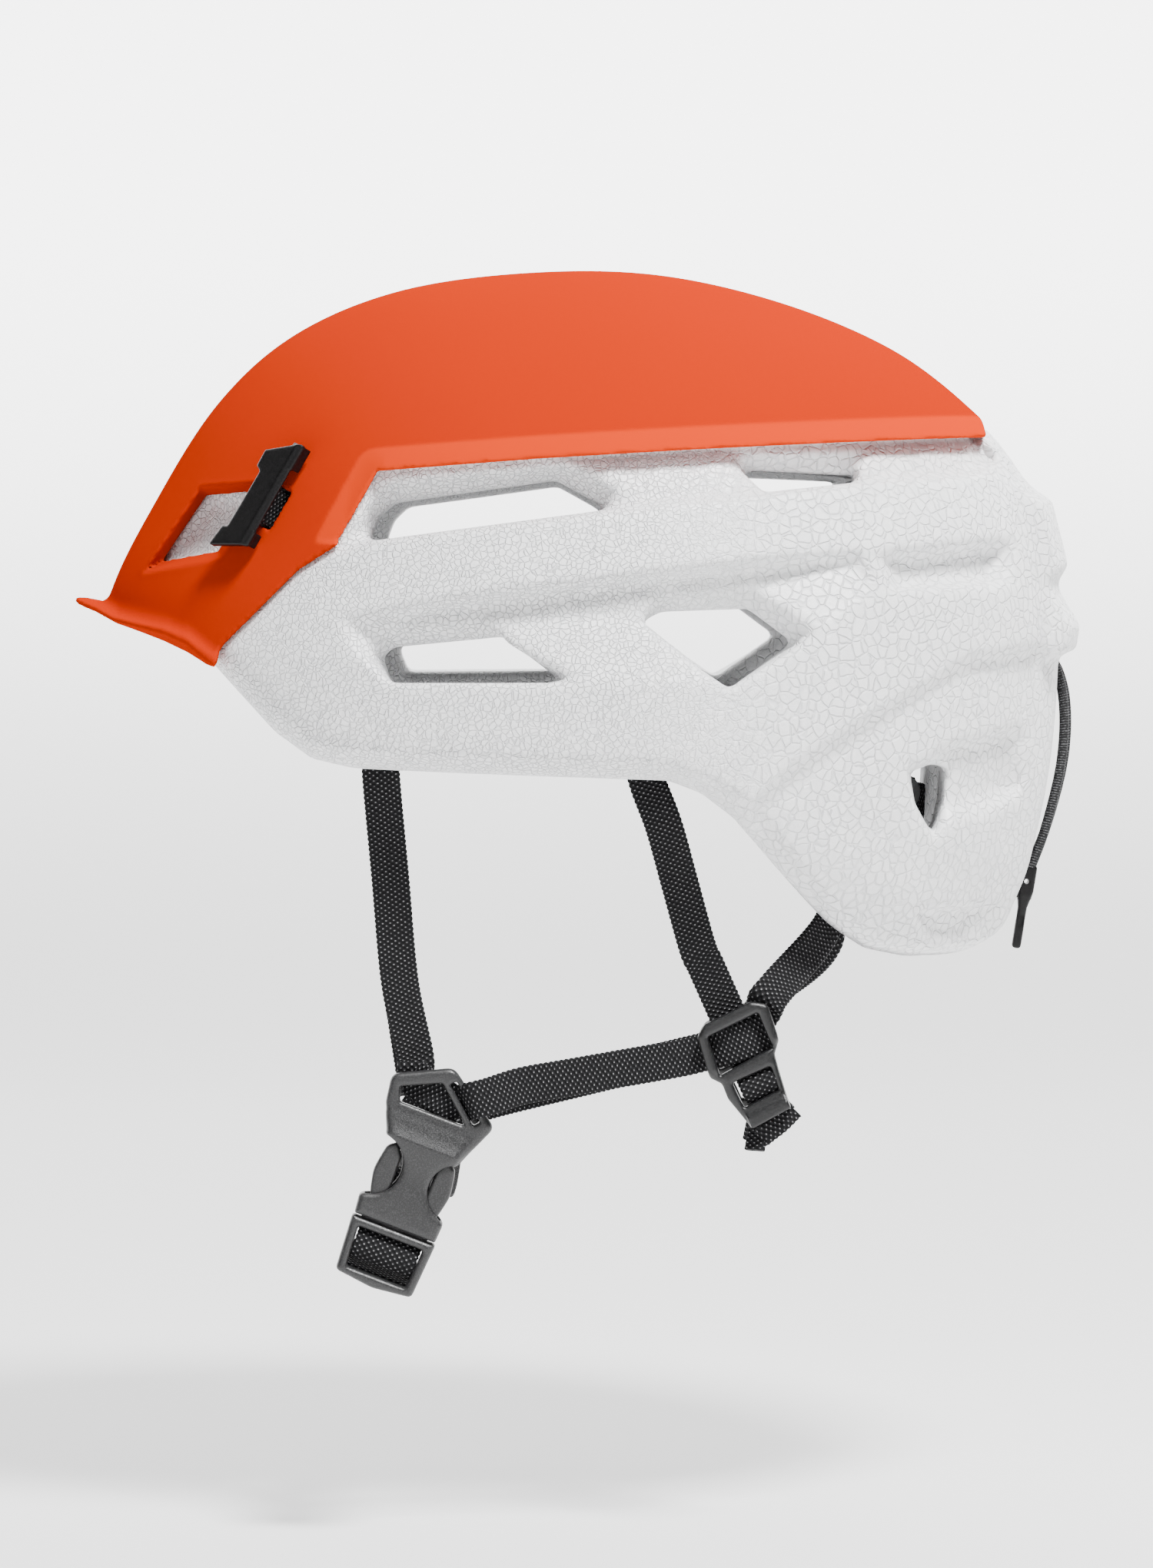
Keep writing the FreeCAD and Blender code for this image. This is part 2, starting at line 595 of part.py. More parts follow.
def chin_webbing(frame, ring_frame):
    """From its tail, round the plug's ladder bar, behind the buckle and across to the right-hand frame."""
    across = frame.b * CHIN_W
    path = [(14.8, -3.2), (13.0, -2.4), (11.2, 1.0), (9.8, 6.9), (6.4, 6.9), (5.0, 1.0), (3.2, -2.4), (0.5, -3.6),
            (-7.0, -6.5), (-14.0, -14.0)]
    points = [frame.at(0, a, n) for a, n in path]
    stations = []
    for i, point in enumerate(points):
        run = points[min(i + 1, len(points) - 1)] - points[max(i - 1, 0)]
        stations.append((point, across, across.cross(run)))
    last = points[-1]
    goal = V(-ring_frame.origin.x, ring_frame.origin.y, ring_frame.origin.z) + frame.a * -35.0
    goal = goal + V(6, 0, 0)
    for i in range(1, 7):
        t = i / 6
        sag = -10.0 * math.sin(math.pi * t)
        point = last + (goal - last) * t + V(0, 0, sag)
        run = goal - last + V(0, 0, -10.0 * math.pi * math.cos(math.pi * t))
        stations.append((point, across, across.cross(run)))
    return ribbon(stations, WEB_T)


# ---------------------------------------------------------------- pads and headband
def wall_band(low, high, region):
    """A layer on the cavity's wall between two depths, within a region."""
    return cavity(low).cut(cavity(high)).common(region)


def box(x, y, z):
    """A box from its lowest and highest X, Y and Z."""
    return Part.makeBox(x[1] - x[0], y[1] - y[0], z[1] - z[0], V(x[0], y[0], z[0]))


PAD_T = 6.0
PAD_GAP = 1.6               # the hook-and-loop dots between pad and foam


def pads():
    brow = wall_band(PAD_GAP, PAD_GAP + PAD_T, box((-58, 58), (-FAR, -62), (42, 66)))
    keep("brow_pad", brow)
    crown_y = (-62, 58)
    top = (92, FAR)
    keep("crown_pad_middle", wall_band(PAD_GAP, PAD_GAP + PAD_T, box((-13, 13), crown_y, top)))
    left = wall_band(PAD_GAP, PAD_GAP + PAD_T, box((21, 42), (-50, 46), (84, FAR)))
    keep("crown_pad_left", left)
    keep("crown_pad_right", mirrored(left))
    dots = []
    for x, y in ((0, -40), (0, 0), (0, 38), (31, -28), (31, 24), (-31, -28), (-31, 24)):
        disc = Part.makeCylinder(7.0, FAR, V(x, y, CAVITY_AT.z))
        dots.append(wall_band(0.1, PAD_GAP - 0.1, disc))
    for x in (-38, 0, 38):
        disc = Part.makeCylinder(7.0, FAR, V(x, -20, 54), V(0, -1, 0))
        dots.append(wall_band(0.1, PAD_GAP - 0.1, disc))
    keep("pad_fasteners", Part.makeCompound(dots))


BAND_Z = (4.0, 17.0)
BAND_T = 1.8
BAND_ARM_X = 68.0           # the arms run straight along Y, so that the band can slide
BAND_ARM_Y = (16.0, 45.0)
BAND_BACK = 47.0            # how far the band's bow reaches behind its arms
NAPE_PAD_T = 5.0
KEEPER_Y = (26.0, 35.0)


def band_oval(depth):
    """The bow's oval outline, inset by a depth."""
    size_x, size_y = BAND_ARM_X - depth, BAND_BACK - depth
    oval = Part.Ellipse(V(0, 0, 0), size_x, size_y).toShape()
    body = Part.Face(Part.Wire([oval])).extrude(V(0, 0, 60))
    body.translate(V(0, BAND_ARM_Y[1], -40))
    return body


def headband():
    bow = band_oval(0).cut(band_oval(BAND_T)).common(box((-FAR, FAR), (BAND_ARM_Y[1], FAR), BAND_Z))
    arm = box((BAND_ARM_X - BAND_T, BAND_ARM_X), (BAND_ARM_Y[0], BAND_ARM_Y[1]), BAND_Z)
    keep("nape_band", bow.fuse(arm).fuse(mirrored(arm)).removeSplitter())
    pad_z = (BAND_Z[0] - 3, BAND_Z[1] + 3)
    low, high = BAND_T + 0.1, BAND_T + NAPE_PAD_T
    keep("nape_pad", band_oval(low).cut(band_oval(high)).common(box((-34, 34), (BAND_ARM_Y[1], FAR), pad_z)))
    inner = BAND_ARM_X - BAND_T - CLEAR
    keeper = box((inner - 1.6, FAR), KEEPER_Y, (BAND_Z[0] - 2, BAND_Z[1] + 2)).common(cavity(0.1))
    channel = box((inner, BAND_ARM_X + CLEAR), (0, 60), (BAND_Z[0] - CLEAR, BAND_Z[1] + CLEAR))
    keeper = keeper.cut(channel)
    keep("band_keeper_left", keeper)
    keep("band_keeper_right", mirrored(keeper))


STEM_R = 2.2


def webbing_anchor(y, z):
    """A stud pressed into the foam, whose head holds the sewn end of a piece of webbing."""
    out = wall_normal(y, z)
    stem = Part.makeCylinder(STEM_R, 16.5, wall_point(y, z, 4.9), out)
    barb = Part.makeCylinder(4.0, 2.2, wall_point(y, z, -9.4), out)
    head = Part.makeCylinder(6.2, 1.8, wall_point(y, z, 6.4), out)
    return stem.fuse(barb).fuse(head).removeSplitter()


def stud_hole(y, z):
    """The hole that an anchor's stem takes through the webbing."""
    return Part.makeCylinder(STEM_R + 0.15, 40, wall_point(y, z, 20), wall_normal(y, z))


# ---------------------------------------------------------------- rear lamp cord
CORD_ROUTE = [(124.0, 39.0), (134.5, 34.0), (138.4, 26.5), (139.6, 15.0), (138.4, 1.0), (134.2, -16.0), (130.0, -27.5)]
CORD_TOP_X, CORD_LOW_X = 3.4, 2.6
CORD_STEP_OUT = 1.2         # the right-hand strand lies a little further out
TAB_AT = (128.2, -35.0)     # the tab's hole, on its peg
TAB_T = 3.4
PEG_R, PEG_HOLE_R = 1.5, 1.9
EYE_R, EYE_UP = 0.7, 3.7    # the small eye across the tab's head, and how far it is above the peg
CORD_HOLE_R = 6.2


def bent_path(points):
    """Straight runs joined by tangent arcs, each as large as its two runs allow."""
    edges, start, radii = [], points[0], []
    for last, corner, following in zip(points, points[1:], points[2:]):
        back, ahead = (last - corner), (following - corner)
        cut = 0.45 * min(back.Length, ahead.Length)
        back, ahead = V(back).normalize(), V(ahead).normalize()
        half = back.getAngle(ahead) / 2
        radius = cut * math.tan(half)
        radii.append(round(radius, 1))
        middle = corner + (back + ahead).normalize() * (radius / math.sin(half) - radius)
        edges.append(Part.LineSegment(start, corner + back * cut).toShape())
        edges.append(Part.Arc(corner + back * cut, middle, corner + ahead * cut).toShape())
        start = corner + ahead * cut
    edges.append(Part.LineSegment(start, points[-1]).toShape())
    print("cord arc radii", min(radii), "to", max(radii))
    return Part.Wire(edges)


def cord_points():
    """Up one strand, round behind the cord's hole in the foam, and down the other."""
    last = len(CORD_ROUTE) - 1
    left, right = [], []
    for i, (y, z) in enumerate(CORD_ROUTE):
        x = CORD_TOP_X + (CORD_LOW_X - CORD_TOP_X) * i / last
        step = CORD_STEP_OUT * math.sin(math.pi * i / last)
        left.append(V(x, y, z))
        right.append(V(-x, y + step, z))
    return left[::-1] + right


def lamp_cord():
    path = bent_path(cord_points())
    start = path.Edges[0].valueAt(path.Edges[0].FirstParameter)
    direction = path.Edges[0].tangentAt(path.Edges[0].FirstParameter)
    ring = Part.Wire([Part.Circle(start, direction, CORD_D / 2).toShape()])
    tube = Part.BRepOffsetAPI.MakePipeShell(path)
    tube.add(ring, False, False)
    tube.setTransitionMode(0)
    tube.build()
    tube.makeSolid()
    solid = tube.shape()
    section = math.pi * (CORD_D / 2) ** 2
    print("cord length", round(path.Length, 1), "volume ratio", round(solid.Volume / section / path.Length, 3))
    return solid


def tab_frame():
    """At the tab's hole: a down the tab, b across it, n out from the helmet."""
    y, z = TAB_AT
    return Local(V(0, y, z), V(0, -0.16, -1), V(1, 0, 0))


def cord_peg(frame):
    """A barbed peg in the foam that the tab's hole hooks over."""
    foot = frame.at(0, 0, -14)
    stem = Part.makeCylinder(PEG_R, 14 + TAB_T / 2 + 0.6, foot, frame.n)
    barb = Part.makeCylinder(3.6, 2, foot + frame.n * 2, frame.n)
    return stem.fuse(barb).removeSplitter()


def cord_tab(frame):
    """The moulded Y that holds both ends of the cord, with a hole for its peg and a blade to pull."""
    outline = [
        (-5.4, -7.6, 1.0), (-1.2, -7.6, 0.8), (0, -5.0, 1.0), (1.2, -7.6, 0.8), (5.4, -7.6, 1.0),
        (3.6, 3.0, 2.0), (1.7, 6.5, 2.0), (1.9, 17.0, 1.0), (-1.9, 17.0, 1.0), (-1.7, 6.5, 2.0), (-3.6, 3.0, 2.0),
    ]
    body = frame.plate(outline, -TAB_T / 2, TAB_T / 2)
    hole = Part.makeCylinder(PEG_HOLE_R, 10, frame.at(0, 0, -5), frame.n)
    eye = Part.makeCylinder(EYE_R, 20, frame.at(-EYE_UP, -10, 0), frame.b)
    return body.cut(hole).cut(eye)


# ---------------------------------------------------------------- assembly
def main():
    clip = clip_frame()
    slots = [strap_slot(clip), mirrored(strap_slot(clip))]
    foam = foam_body()
    shell = hard_shell()
    for tool in slots:
        foam, shell = foam.cut(tool), shell.cut(tool)
    left_clip = lamp_clip(clip)
    keep("lamp_clip_left", left_clip)
    keep("lamp_clip_right", mirrored(left_clip))

    for right in (False, True):
        side = "right" if right else "left"
        turn = mirrored if right else (lambda shape: shape)
        keep("long_webbing_" + side, turn(long_webbing(right)))
        keep("middle_webbing_" + side, turn(middle_webbing(right)))
        keep("yoke_" + side, turn(yoke(right)))
        for name, (y, z) in (("middle", MID_ANCHOR), ("nape", NAPE_ANCHOR)):
            stud = turn(webbing_anchor(y, z))
            foam = foam.cut(stud)
            keep(name + "_anchor_" + side, stud)

    buckle = buckle_frame()
    keep("buckle_socket", buckle_socket(buckle))
    keep("buckle_plug", buckle_plug(buckle))
    keep("buckle_prong_front", buckle_prong(buckle, 1))
    keep("buckle_prong_rear", buckle_prong(buckle, -1))
    ring = right_ring_frame()
    keep("webbing_frame_right", mirrored(buckle_socket(ring, True)))
    keep("chin_webbing", chin_webbing(buckle, ring))

    pads()
    headband()

    tab = tab_frame()
    peg = cord_peg(tab)
    cord = lamp_cord()
    keep("lamp_cord", cord)
    keep("cord_peg", peg)
    keep("cord_tab", cord_tab(tab).cut(cord))
    foam = foam.cut(peg)
    (y1, z1), (y2, z2) = CORD_ROUTE[:2]
    along = V(0, y2 - y1, z2 - z1).normalize()
    foam = foam.cut(Part.makeCylinder(CORD_HOLE_R, 40, V(0, y1, z1) - along * 6, along))
    keep("foam_body", foam)
    keep("hard_shell", shell)

    os.makedirs("parts", exist_ok=True)
    for name, shape in sorted(PARTS.items()):
        shape.exportStep("parts/" + name + ".step")
        print(name, len(shape.Solids), round(shape.Volume / 1000, 2), "cm3")


main()
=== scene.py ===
import json
import math

import bmesh
import bpy
import numpy as np
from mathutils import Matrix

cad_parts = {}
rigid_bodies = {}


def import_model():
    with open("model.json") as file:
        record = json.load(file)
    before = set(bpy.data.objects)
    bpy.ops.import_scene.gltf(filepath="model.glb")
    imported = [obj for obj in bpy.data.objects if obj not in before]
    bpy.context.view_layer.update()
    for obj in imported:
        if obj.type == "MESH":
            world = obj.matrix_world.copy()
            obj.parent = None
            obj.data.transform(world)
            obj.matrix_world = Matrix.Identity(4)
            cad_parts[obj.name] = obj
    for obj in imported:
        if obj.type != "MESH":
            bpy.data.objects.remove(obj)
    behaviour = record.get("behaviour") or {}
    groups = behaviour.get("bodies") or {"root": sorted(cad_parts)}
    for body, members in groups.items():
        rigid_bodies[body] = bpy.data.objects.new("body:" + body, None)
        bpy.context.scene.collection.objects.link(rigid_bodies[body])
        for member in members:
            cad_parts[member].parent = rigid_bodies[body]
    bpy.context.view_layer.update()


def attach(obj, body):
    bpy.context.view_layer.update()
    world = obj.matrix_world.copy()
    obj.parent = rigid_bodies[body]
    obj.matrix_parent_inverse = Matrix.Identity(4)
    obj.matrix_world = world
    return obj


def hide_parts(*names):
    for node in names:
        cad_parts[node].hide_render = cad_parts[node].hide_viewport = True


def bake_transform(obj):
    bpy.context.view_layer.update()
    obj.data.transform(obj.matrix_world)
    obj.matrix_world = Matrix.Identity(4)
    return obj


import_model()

import openvdb
from mathutils import Matrix, Vector

MM = 0.001
FOAM_CELL, SHELL_CELL, PAD_CELL = ((1.1, 0.8, 1.6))     # sampling, in mm

# -------------------- sizes, in mm, in the CAD frame
HALF_WIDTH = 108.0
DOME_Z = 35.0
ACROSS = 2.2
SHELL_T = 2.0
CAVITY = (82.0, 107.0, 97.0)
CAVITY_AT = (0.0, -1.0, 20.0)

# Middle outline of the dome in Y and Z, clockwise from the front.
OUTLINE = [
    (-140, 20), (-136, 50), (-122, 79), (-104, 107), (-82, 126.5), (-52, 139), (-15, 144.2),
    (22, 143.6), (58, 135.5), (90, 122), (113, 104.5), (127, 88), (135, 71), (138.5, 50),
    (138.5, 28), (136.5, 4), (132.5, -17), (127, -35), (112, -62), (70, -88), (0, -98),
    (-80, -80), (-124, -30),
]
# All side outlines are (Y, Z) of the wearer's left, where they meet the dome.
RIM = [
    (-150, 55), (-103, 33.5), (-84, 13.5), (-74, 6.5), (-62, 4), (24, 1), (33, -2.5), (42, -9.5), (68, -40),
    (78, -48.5), (91, -52), (111, -50.5), (124, -47.8), (160, -40), (160, 160), (-150, 160),
]
SHELL_REGION = [
    (-150, 55), (-103, 33.6), (-77.5, 58.6), (-66.4, 65.6), (-55.7, 85.8), (-11.5, 89.1), (33.4, 91.8),
    (115.2, 96.2), (115.2, 160), (-150, 160),
]
SHELL_EDGE = [(-66.4, 65.6), (-55.7, 85.8), (-11.5, 89.1), (33.4, 91.8), (115.2, 96.2)]
UPPER_BAND = [
    (-66, 64), (-54.5, 86.5), (-11.5, 90), (33.4, 92.5), (112, 97), (119, 89), (111.8, 85.8), (75.9, 83),
    (50.2, 80), (6.7, 75.1), (-57.8, 66.7),
]
LOWER_BAND = [
    (-66.8, 45.7), (-21.2, 53.5), (47.2, 61.8), (77.5, 64.3), (84.1, 52), (65.4, 40.8), (40.1, 27),
    (31.7, 26.3), (-51.9, 28.3), (-64.7, 39.4),
]
LOWER_BAND_FOOT = [(-64.7, 39.4), (-51.9, 28.3), (31.7, 26.3), (40.1, 27), (65.4, 40.8), (84.1, 52)]
# Each vent: its mouth on the surface, its throat, the depth between them, and whether it goes through.
VENTS = [
    ([(-65, 66), (-55, 86.8), (-1, 90.5), (19, 77), (6.7, 75.1), (-57.8, 66.7)],
     [(-58.5, 66.4), (-55.8, 73.2), (-51.6, 77.2), (-6.8, 83.4), (8, 75.2)], 14.0, True),
    ([(34.8, 93), (88.5, 96), (76.5, 83), (50.2, 80)],
     [(44, 86.2), (76.5, 84.8), (75.8, 82.6), (50.6, 80.0)], 12.0, True),
    ([(-66.5, 45.6), (-21, 53.4), (-20.5, 47), (-21.2, 38.4), (2.6, 28.2), (-51.9, 28), (-64.7, 39.4)],
     [(-54.6, 34.5), (-51.5, 37.4), (-21, 40.4), (-5.6, 28.6), (-8, 27.8), (-51.8, 27.6)], 13.0, True),
    ([(9, 57.2), (53.2, 62.6), (54, 55.6), (65.6, 40.9), (40.1, 26.6), (10.6, 49.6)],
     [(16.5, 44.4), (22, 47.2), (46, 48.0), (58.6, 38.6), (41, 26.0), (33.5, 30.0)], 14.0, True),
    ([(77.5, 64.3), (123.6, 68.6), (124.1, 53.9), (84.1, 52)],
     [(86, 60.2), (115, 63.4), (114.5, 56.4), (88, 54.6)], 8.0, False),
    ([(89.3, 4), (103.2, 14.3), (110.8, 15.5), (131, 21), (129, -3), (116.7, -15.8), (98.4, -15.8),
      (91.8, -6)],
     [(91.5, 2.8), (97.4, 5), (104, 8.5), (121, 11), (121.5, -3.7), (101.2, -7.1), (98.4, -15.4),
      (93, -6.1)], 9.0, False),
]
NAPE_HOLE = [(91.5, 2.5), (97.4, 4.5), (101.8, 3.6), (101.2, -5.6), (98.4, -15.6), (93, -6.1)]
STEP = [
    (47, -4), (55.6, 4.5), (72.6, 15.5), (107.7, 35.5), (131.5, 37.9), (160, 38.4), (160, -70), (30, -70),
    (46, -14),
]
STEP_DEPTH, STEP_RUN = 3.6, 3.2
UPPER_DEPTH, LOWER_DEPTH, LEDGE_DEPTH = 3.4, 7.0, 2.6    # how far the bands and the ledge are sunk
FOAM_INSET, UNDER_SHELL = 1.0, 1.7      # the foam's depth below the dome, and the extra under the shell
MOULD_STEP, MOULD_TUCK = 0.7, 0.3       # the foam steps in below the mould line and goes on tucking in
FLASH_RISE, FLASH_HALF = 0.5, 0.8       # the thin raised line that the mould's halves leave
MOULD_LINE = [
    (-84, 21), (-74.7, 11.3), (-66.1, 9.3), (-18.4, 7.8), (20.6, 6.7), (27.5, 5.0), (37.3, 1.2), (47.5, -4.5),
    (60, -21), (73.2, -37.9), (82.1, -44.8), (100.1, -49), (116, -46.5), (130, -41.5),
]
BELOW_MOULD_LINE = [(130, -90), (-84, -90)]
MOULD_BRANCH = [(47.5, -4.5), (52.1, 1.0), (56.5, 5.5)]
REAR_CORNER = [(113.4, 85.1), (125.2, 79.2), (132.0, 68.4), (134.0, 54.5), (133.0, 40)]
LEDGE = [(92.5, -35.6), (160, -36.8), (160, -47), (97, -45)]
BROW_WINDOW = [(-123.1, 57.9), (-106.8, 81.7), (-88.5, 82.9), (-99.5, 61.9)]
BROW_FLOOR = [(-117.5, 60.5), (-104.5, 77.5), (-88, 78.5), (-97, 63.5)]
BROW_DEPTH = 8.0
COLLAR_T, COLLAR_DEPTH, COLLAR_SLOPE = 1.4, 5.0, 2.6    # the shell turns in round the brow window
RIDGES = [
    (105, 86), (124.7, 86), (136, 78.5), (140.6, 60), (137, 54.2), (144, 42.8), (142.9, 35.8), (137, 33.5),
    (105, 33),
]
RIDGE_HALF = 35.0
BRIM_LINE = [
    (-152, 51.2), (-145.6, 49.2), (-137, 46.6), (-130.8, 43.8), (-115.8, 40.6), (-109, 38), (-101, 32),
]
BRIM_OUT = 9.6
# The shell's lower edge, turned in at the front and out along the side.
BAND_W, EDGE_CHAMFER, EDGE_FLARE = 6.8, 1.3, 1.3
EDGE_TURNS, EDGE_FADE = (-64, -54), 1.5

# The harness and the fittings, placed as in the CAD but for the clip's bar and the nape webbing's end.
FRONT_TOP, FRONT_END = (-55.0, 2.0), (-47.5, -83.0)
MID_TOP = (19.0, 0.0)
YOKE_AT, YOKE_LEAN = (40.5, -64.0), 24.0
BUCKLE_AT, BUCKLE_LEAN, BUCKLE_X = (-51.3, -122.8), 21.0, 75.0
RIGHT_SLACK, SLACK_LINE = 1.09, (0.0, 62.0)
MID_ANCHOR, NAPE_ANCHOR = (13.0, 24.0), (84.0, -3.5)
NAPE_ENTRY, NAPE_ROUTE = (70.0, -42.0), [(76.0, -26.0), (81.0, -12.0)]
NAPE_END = [(92.5, -5.5), (100.5, -7.5)]
CLIP_AT, CLIP_LEAN = (-86.0, 76.5), 29.0
CLIP_BAR_B, CLIP_BAR_N, CLIP_BAR_R = -0.2, 1.5, 0.6
LOOP_R, LOOP_N = 1.7, 1.7       # the webbing's turn round the clip's bar
CORD_ROUTE = [
    (124.0, 39.0), (134.5, 34.0), (138.4, 26.5), (139.6, 15.0), (138.4, 1.0), (134.2, -16.0), (130.0, -27.5),
]
TAB_AT = (128.2, -35.0)
EYE_UP, EYE_R = 3.7, 0.7
CORD_R = 1.4
PAD_GAP, PAD_T = 1.6, 6.0
BAND_OVAL, BAND_OVAL_Y = (68.0, 47.0), 45.0
PUFF_LIMIT = 0.0012


# -------------------- distance fields
def along_curve(before, here, after, beyond, t):
    """The smooth curve's point at share t of the way from here to after."""
    return 0.5 * (2 * here + (after - before) * t + (2 * before - 5 * here + 4 * after - beyond) * t * t
                  + (3 * here - before - 3 * after + beyond) * t ** 3)


def spline_loop(points, steps):
    """A closed smooth curve through the points."""
    p = np.array(points, float)
    before, after, beyond = np.roll(p, 1, 0), np.roll(p, -1, 0), np.roll(p, -2, 0)
    rows = []
    for t in np.linspace(0, 1, steps, endpoint=False):
        rows.append(along_curve(before, p, after, beyond, t))
    return np.stack(rows, 1).reshape(-1, 2)


LOOP = spline_loop(OUTLINE, 12)
LOOP_ANGLE = np.arctan2(LOOP[:, 1] - DOME_Z, LOOP[:, 0])
LOOP_RADIUS = np.hypot(LOOP[:, 0], LOOP[:, 1] - DOME_Z)
LOOP_ORDER = np.argsort(LOOP_ANGLE)
LOOP_ANGLE, LOOP_RADIUS = LOOP_ANGLE[LOOP_ORDER], LOOP_RADIUS[LOOP_ORDER]


def side_share(y, z):
    """How far (y, z) is from the side pole, as a share of the outline's radius that way."""
    reach = np.interp(np.arctan2(z - DOME_Z, y), LOOP_ANGLE, LOOP_RADIUS, period=2 * math.pi)
    return np.hypot(y, z - DOME_Z) / reach


def dome_x(y, z, inset=0.0):
    share = float(side_share(np.float64(y), np.float64(z))) * (1 + inset / 120)
    return (HALF_WIDTH - inset) * max(0.0, 1 - share ** 2) ** (1 / ACROSS)


def dome_normal(y, z):
    slope_y = (dome_x(y + 1, z) - dome_x(y - 1, z)) / 2
    slope_z = (dome_x(y, z + 1) - dome_x(y, z - 1)) / 2
    return Vector((1, -slope_y, -slope_z)).normalized()


def outline_distance(points, y, z, closed=True):
    """Distance to an outline in the side plane, negative inside if it is closed."""
    p = [np.array(q, np.float32) for q in points]
    ends = list(zip(p, p[1:] + p[:1])) if closed else list(zip(p, p[1:]))
    best = np.full(y.shape, 1e9, np.float32)
    inside = np.zeros(y.shape, bool)
    for a, b in ends:
        ey, ez = b - a
        wy, wz = y - a[0], z - a[1]
        t = np.clip((wy * ey + wz * ez) / (ey * ey + ez * ez), 0, 1)
        best = np.minimum(best, (wy - ey * t) ** 2 + (wz - ez * t) ** 2)
        if closed and a[1] != b[1]:
            crosses = (a[1] > z) != (b[1] > z)
            inside ^= crosses & (wy < ey * wz / ez)
    best = np.sqrt(best)
    return np.where(inside, -best, best) if closed else best


def edge_band(y, z, width):
    """How near a side point is to the shell's lower edge: 1 on the edge, 0 beyond the width.

    The band fades out within EDGE_FADE above its front end.
    """
    share = ramp(1 - outline_distance(SHELL_EDGE, y, z, False) / width)
    return share * ramp((z - SHELL_EDGE[0][1]) / EDGE_FADE)


def soft_max(a, b, k):
    return np.maximum(a, b) + np.maximum(k - np.abs(a - b), 0) ** 2 / (4 * k)


def soft_min(a, b, k):
    return -soft_max(-a, -b, k)


def ramp(value):
    return np.clip(value, 0, 1)


def eased_field(field):
    """The field with its kinks eased over one cell, so that its edges mesh cleanly."""
    for axis in range(3):
        wide = np.pad(field, [(1, 1) if i == axis else (0, 0) for i in range(3)], mode="reflect")
        count = field.shape[axis]
        field = 0.5 * field + 0.25 * (wide.take(range(count), axis) + wide.take(range(2, count + 2), axis))
    return field


class Grid:
    """Sample points over the wearer's left half, as arrays that broadcast together."""

    def __init__(self, cell, low, high):
        self.cell = cell
        self.low = np.array(low, float)
        count = np.ceil((np.array(high) - self.low) / cell).astype(int) + 1
        xs, ys, zs = [self.low[i] + cell * np.arange(count[i]) for i in range(3)]
        self.x = xs.astype(np.float32)[:, None, None]
        self.y = ys.astype(np.float32)[None, :, None]
        self.z = zs.astype(np.float32)[None, None, :]
        self.yy, self.zz = np.meshgrid(self.y.ravel(), self.z.ravel(), indexing="ij")

    def flat(self, points, closed=True):
        return outline_distance(points, self.yy, self.zz, closed)[None]

    def as_distance(self, field):
        """Turns a level function that is 1 on the surface into a distance near it."""
        slopes = np.gradient(field, self.cell)
        steep = np.sqrt(sum(s * s for s in slopes))
        return (field - 1) / np.maximum(steep, 1e-4)

    def dome(self):
        share = side_share(self.yy, self.zz).astype(np.float32)[None]
        return self.as_distance(np.sqrt(share ** 2 + (np.abs(self.x) / HALF_WIDTH) ** ACROSS))

    def cavity(self, inset=0.0):
        """Distance to the head cavity's wall, or to a surface inset from it."""
        dx, dy = self.x / (CAVITY[0] - inset), (self.y - CAVITY_AT[1]) / (CAVITY[1] - inset)
        dz = np.maximum(self.z - CAVITY_AT[2], 0) / (CAVITY[2] - inset)
        return self.as_distance(np.sqrt(dx * dx + dy * dy + dz * dz))

    def surface(self, field):
        """The field's zero surface as points in mm, triangles and quads."""
        edge = 3 * self.cell
        grid = openvdb.FloatGrid(edge)
        grid.copyFromArray(np.ascontiguousarray(np.clip(field, -edge, edge), np.float32))
        points, triangles, quads = grid.convertToPolygons(0.0, 0.0)
        return points * self.cell + self.low, triangles[:, ::-1], quads[:, ::-1]

    def mesh(self, name, field):
        """The field's surface on both sides of the middle plane, as a mesh object."""
        whole = np.concatenate([field[:0:-1], field], 0)
        points, triangles, quads = self.surface(whole)
        points[:, 0] -= self.x[-1, 0, 0]
        return faces_to_object(name, points * MM, triangles, quads)


def faces_to_object(name, points, triangles, quads):
    mesh = bpy.data.meshes.new(name)
    mesh.vertices.add(len(points))
    mesh.vertices.foreach_set("co", np.asarray(points, np.float32).ravel())
    loops = np.concatenate([triangles.ravel(), quads.ravel()]).astype(np.int32)
    sizes = np.concatenate([np.full(len(triangles), 3), np.full(len(quads), 4)])
    mesh.loops.add(len(loops))
    mesh.loops.foreach_set("vertex_index", loops)
    mesh.polygons.add(len(sizes))
    starts = np.concatenate([[0], np.cumsum(sizes)[:-1]]).astype(np.int32)
    mesh.polygons.foreach_set("loop_start", starts)
    mesh.update(calc_edges=True)
    mesh.validate()
    mesh.polygons.foreach_set("use_smooth", np.ones(len(mesh.polygons), bool))
    obj = bpy.data.objects.new(name, mesh)
    bpy.context.scene.collection.objects.link(obj)
    return obj


# -------------------- foam body
def vent_cut(grid, dome, mouth, throat, depth, through):
    """A funnel that narrows from its mouth on the surface to its throat."""
    share = ramp(-dome / depth)
    cut = grid.flat(mouth) * (1 - share) + grid.flat(throat) * share
    return cut if through else soft_max(cut, -(dome + depth), 2.5)


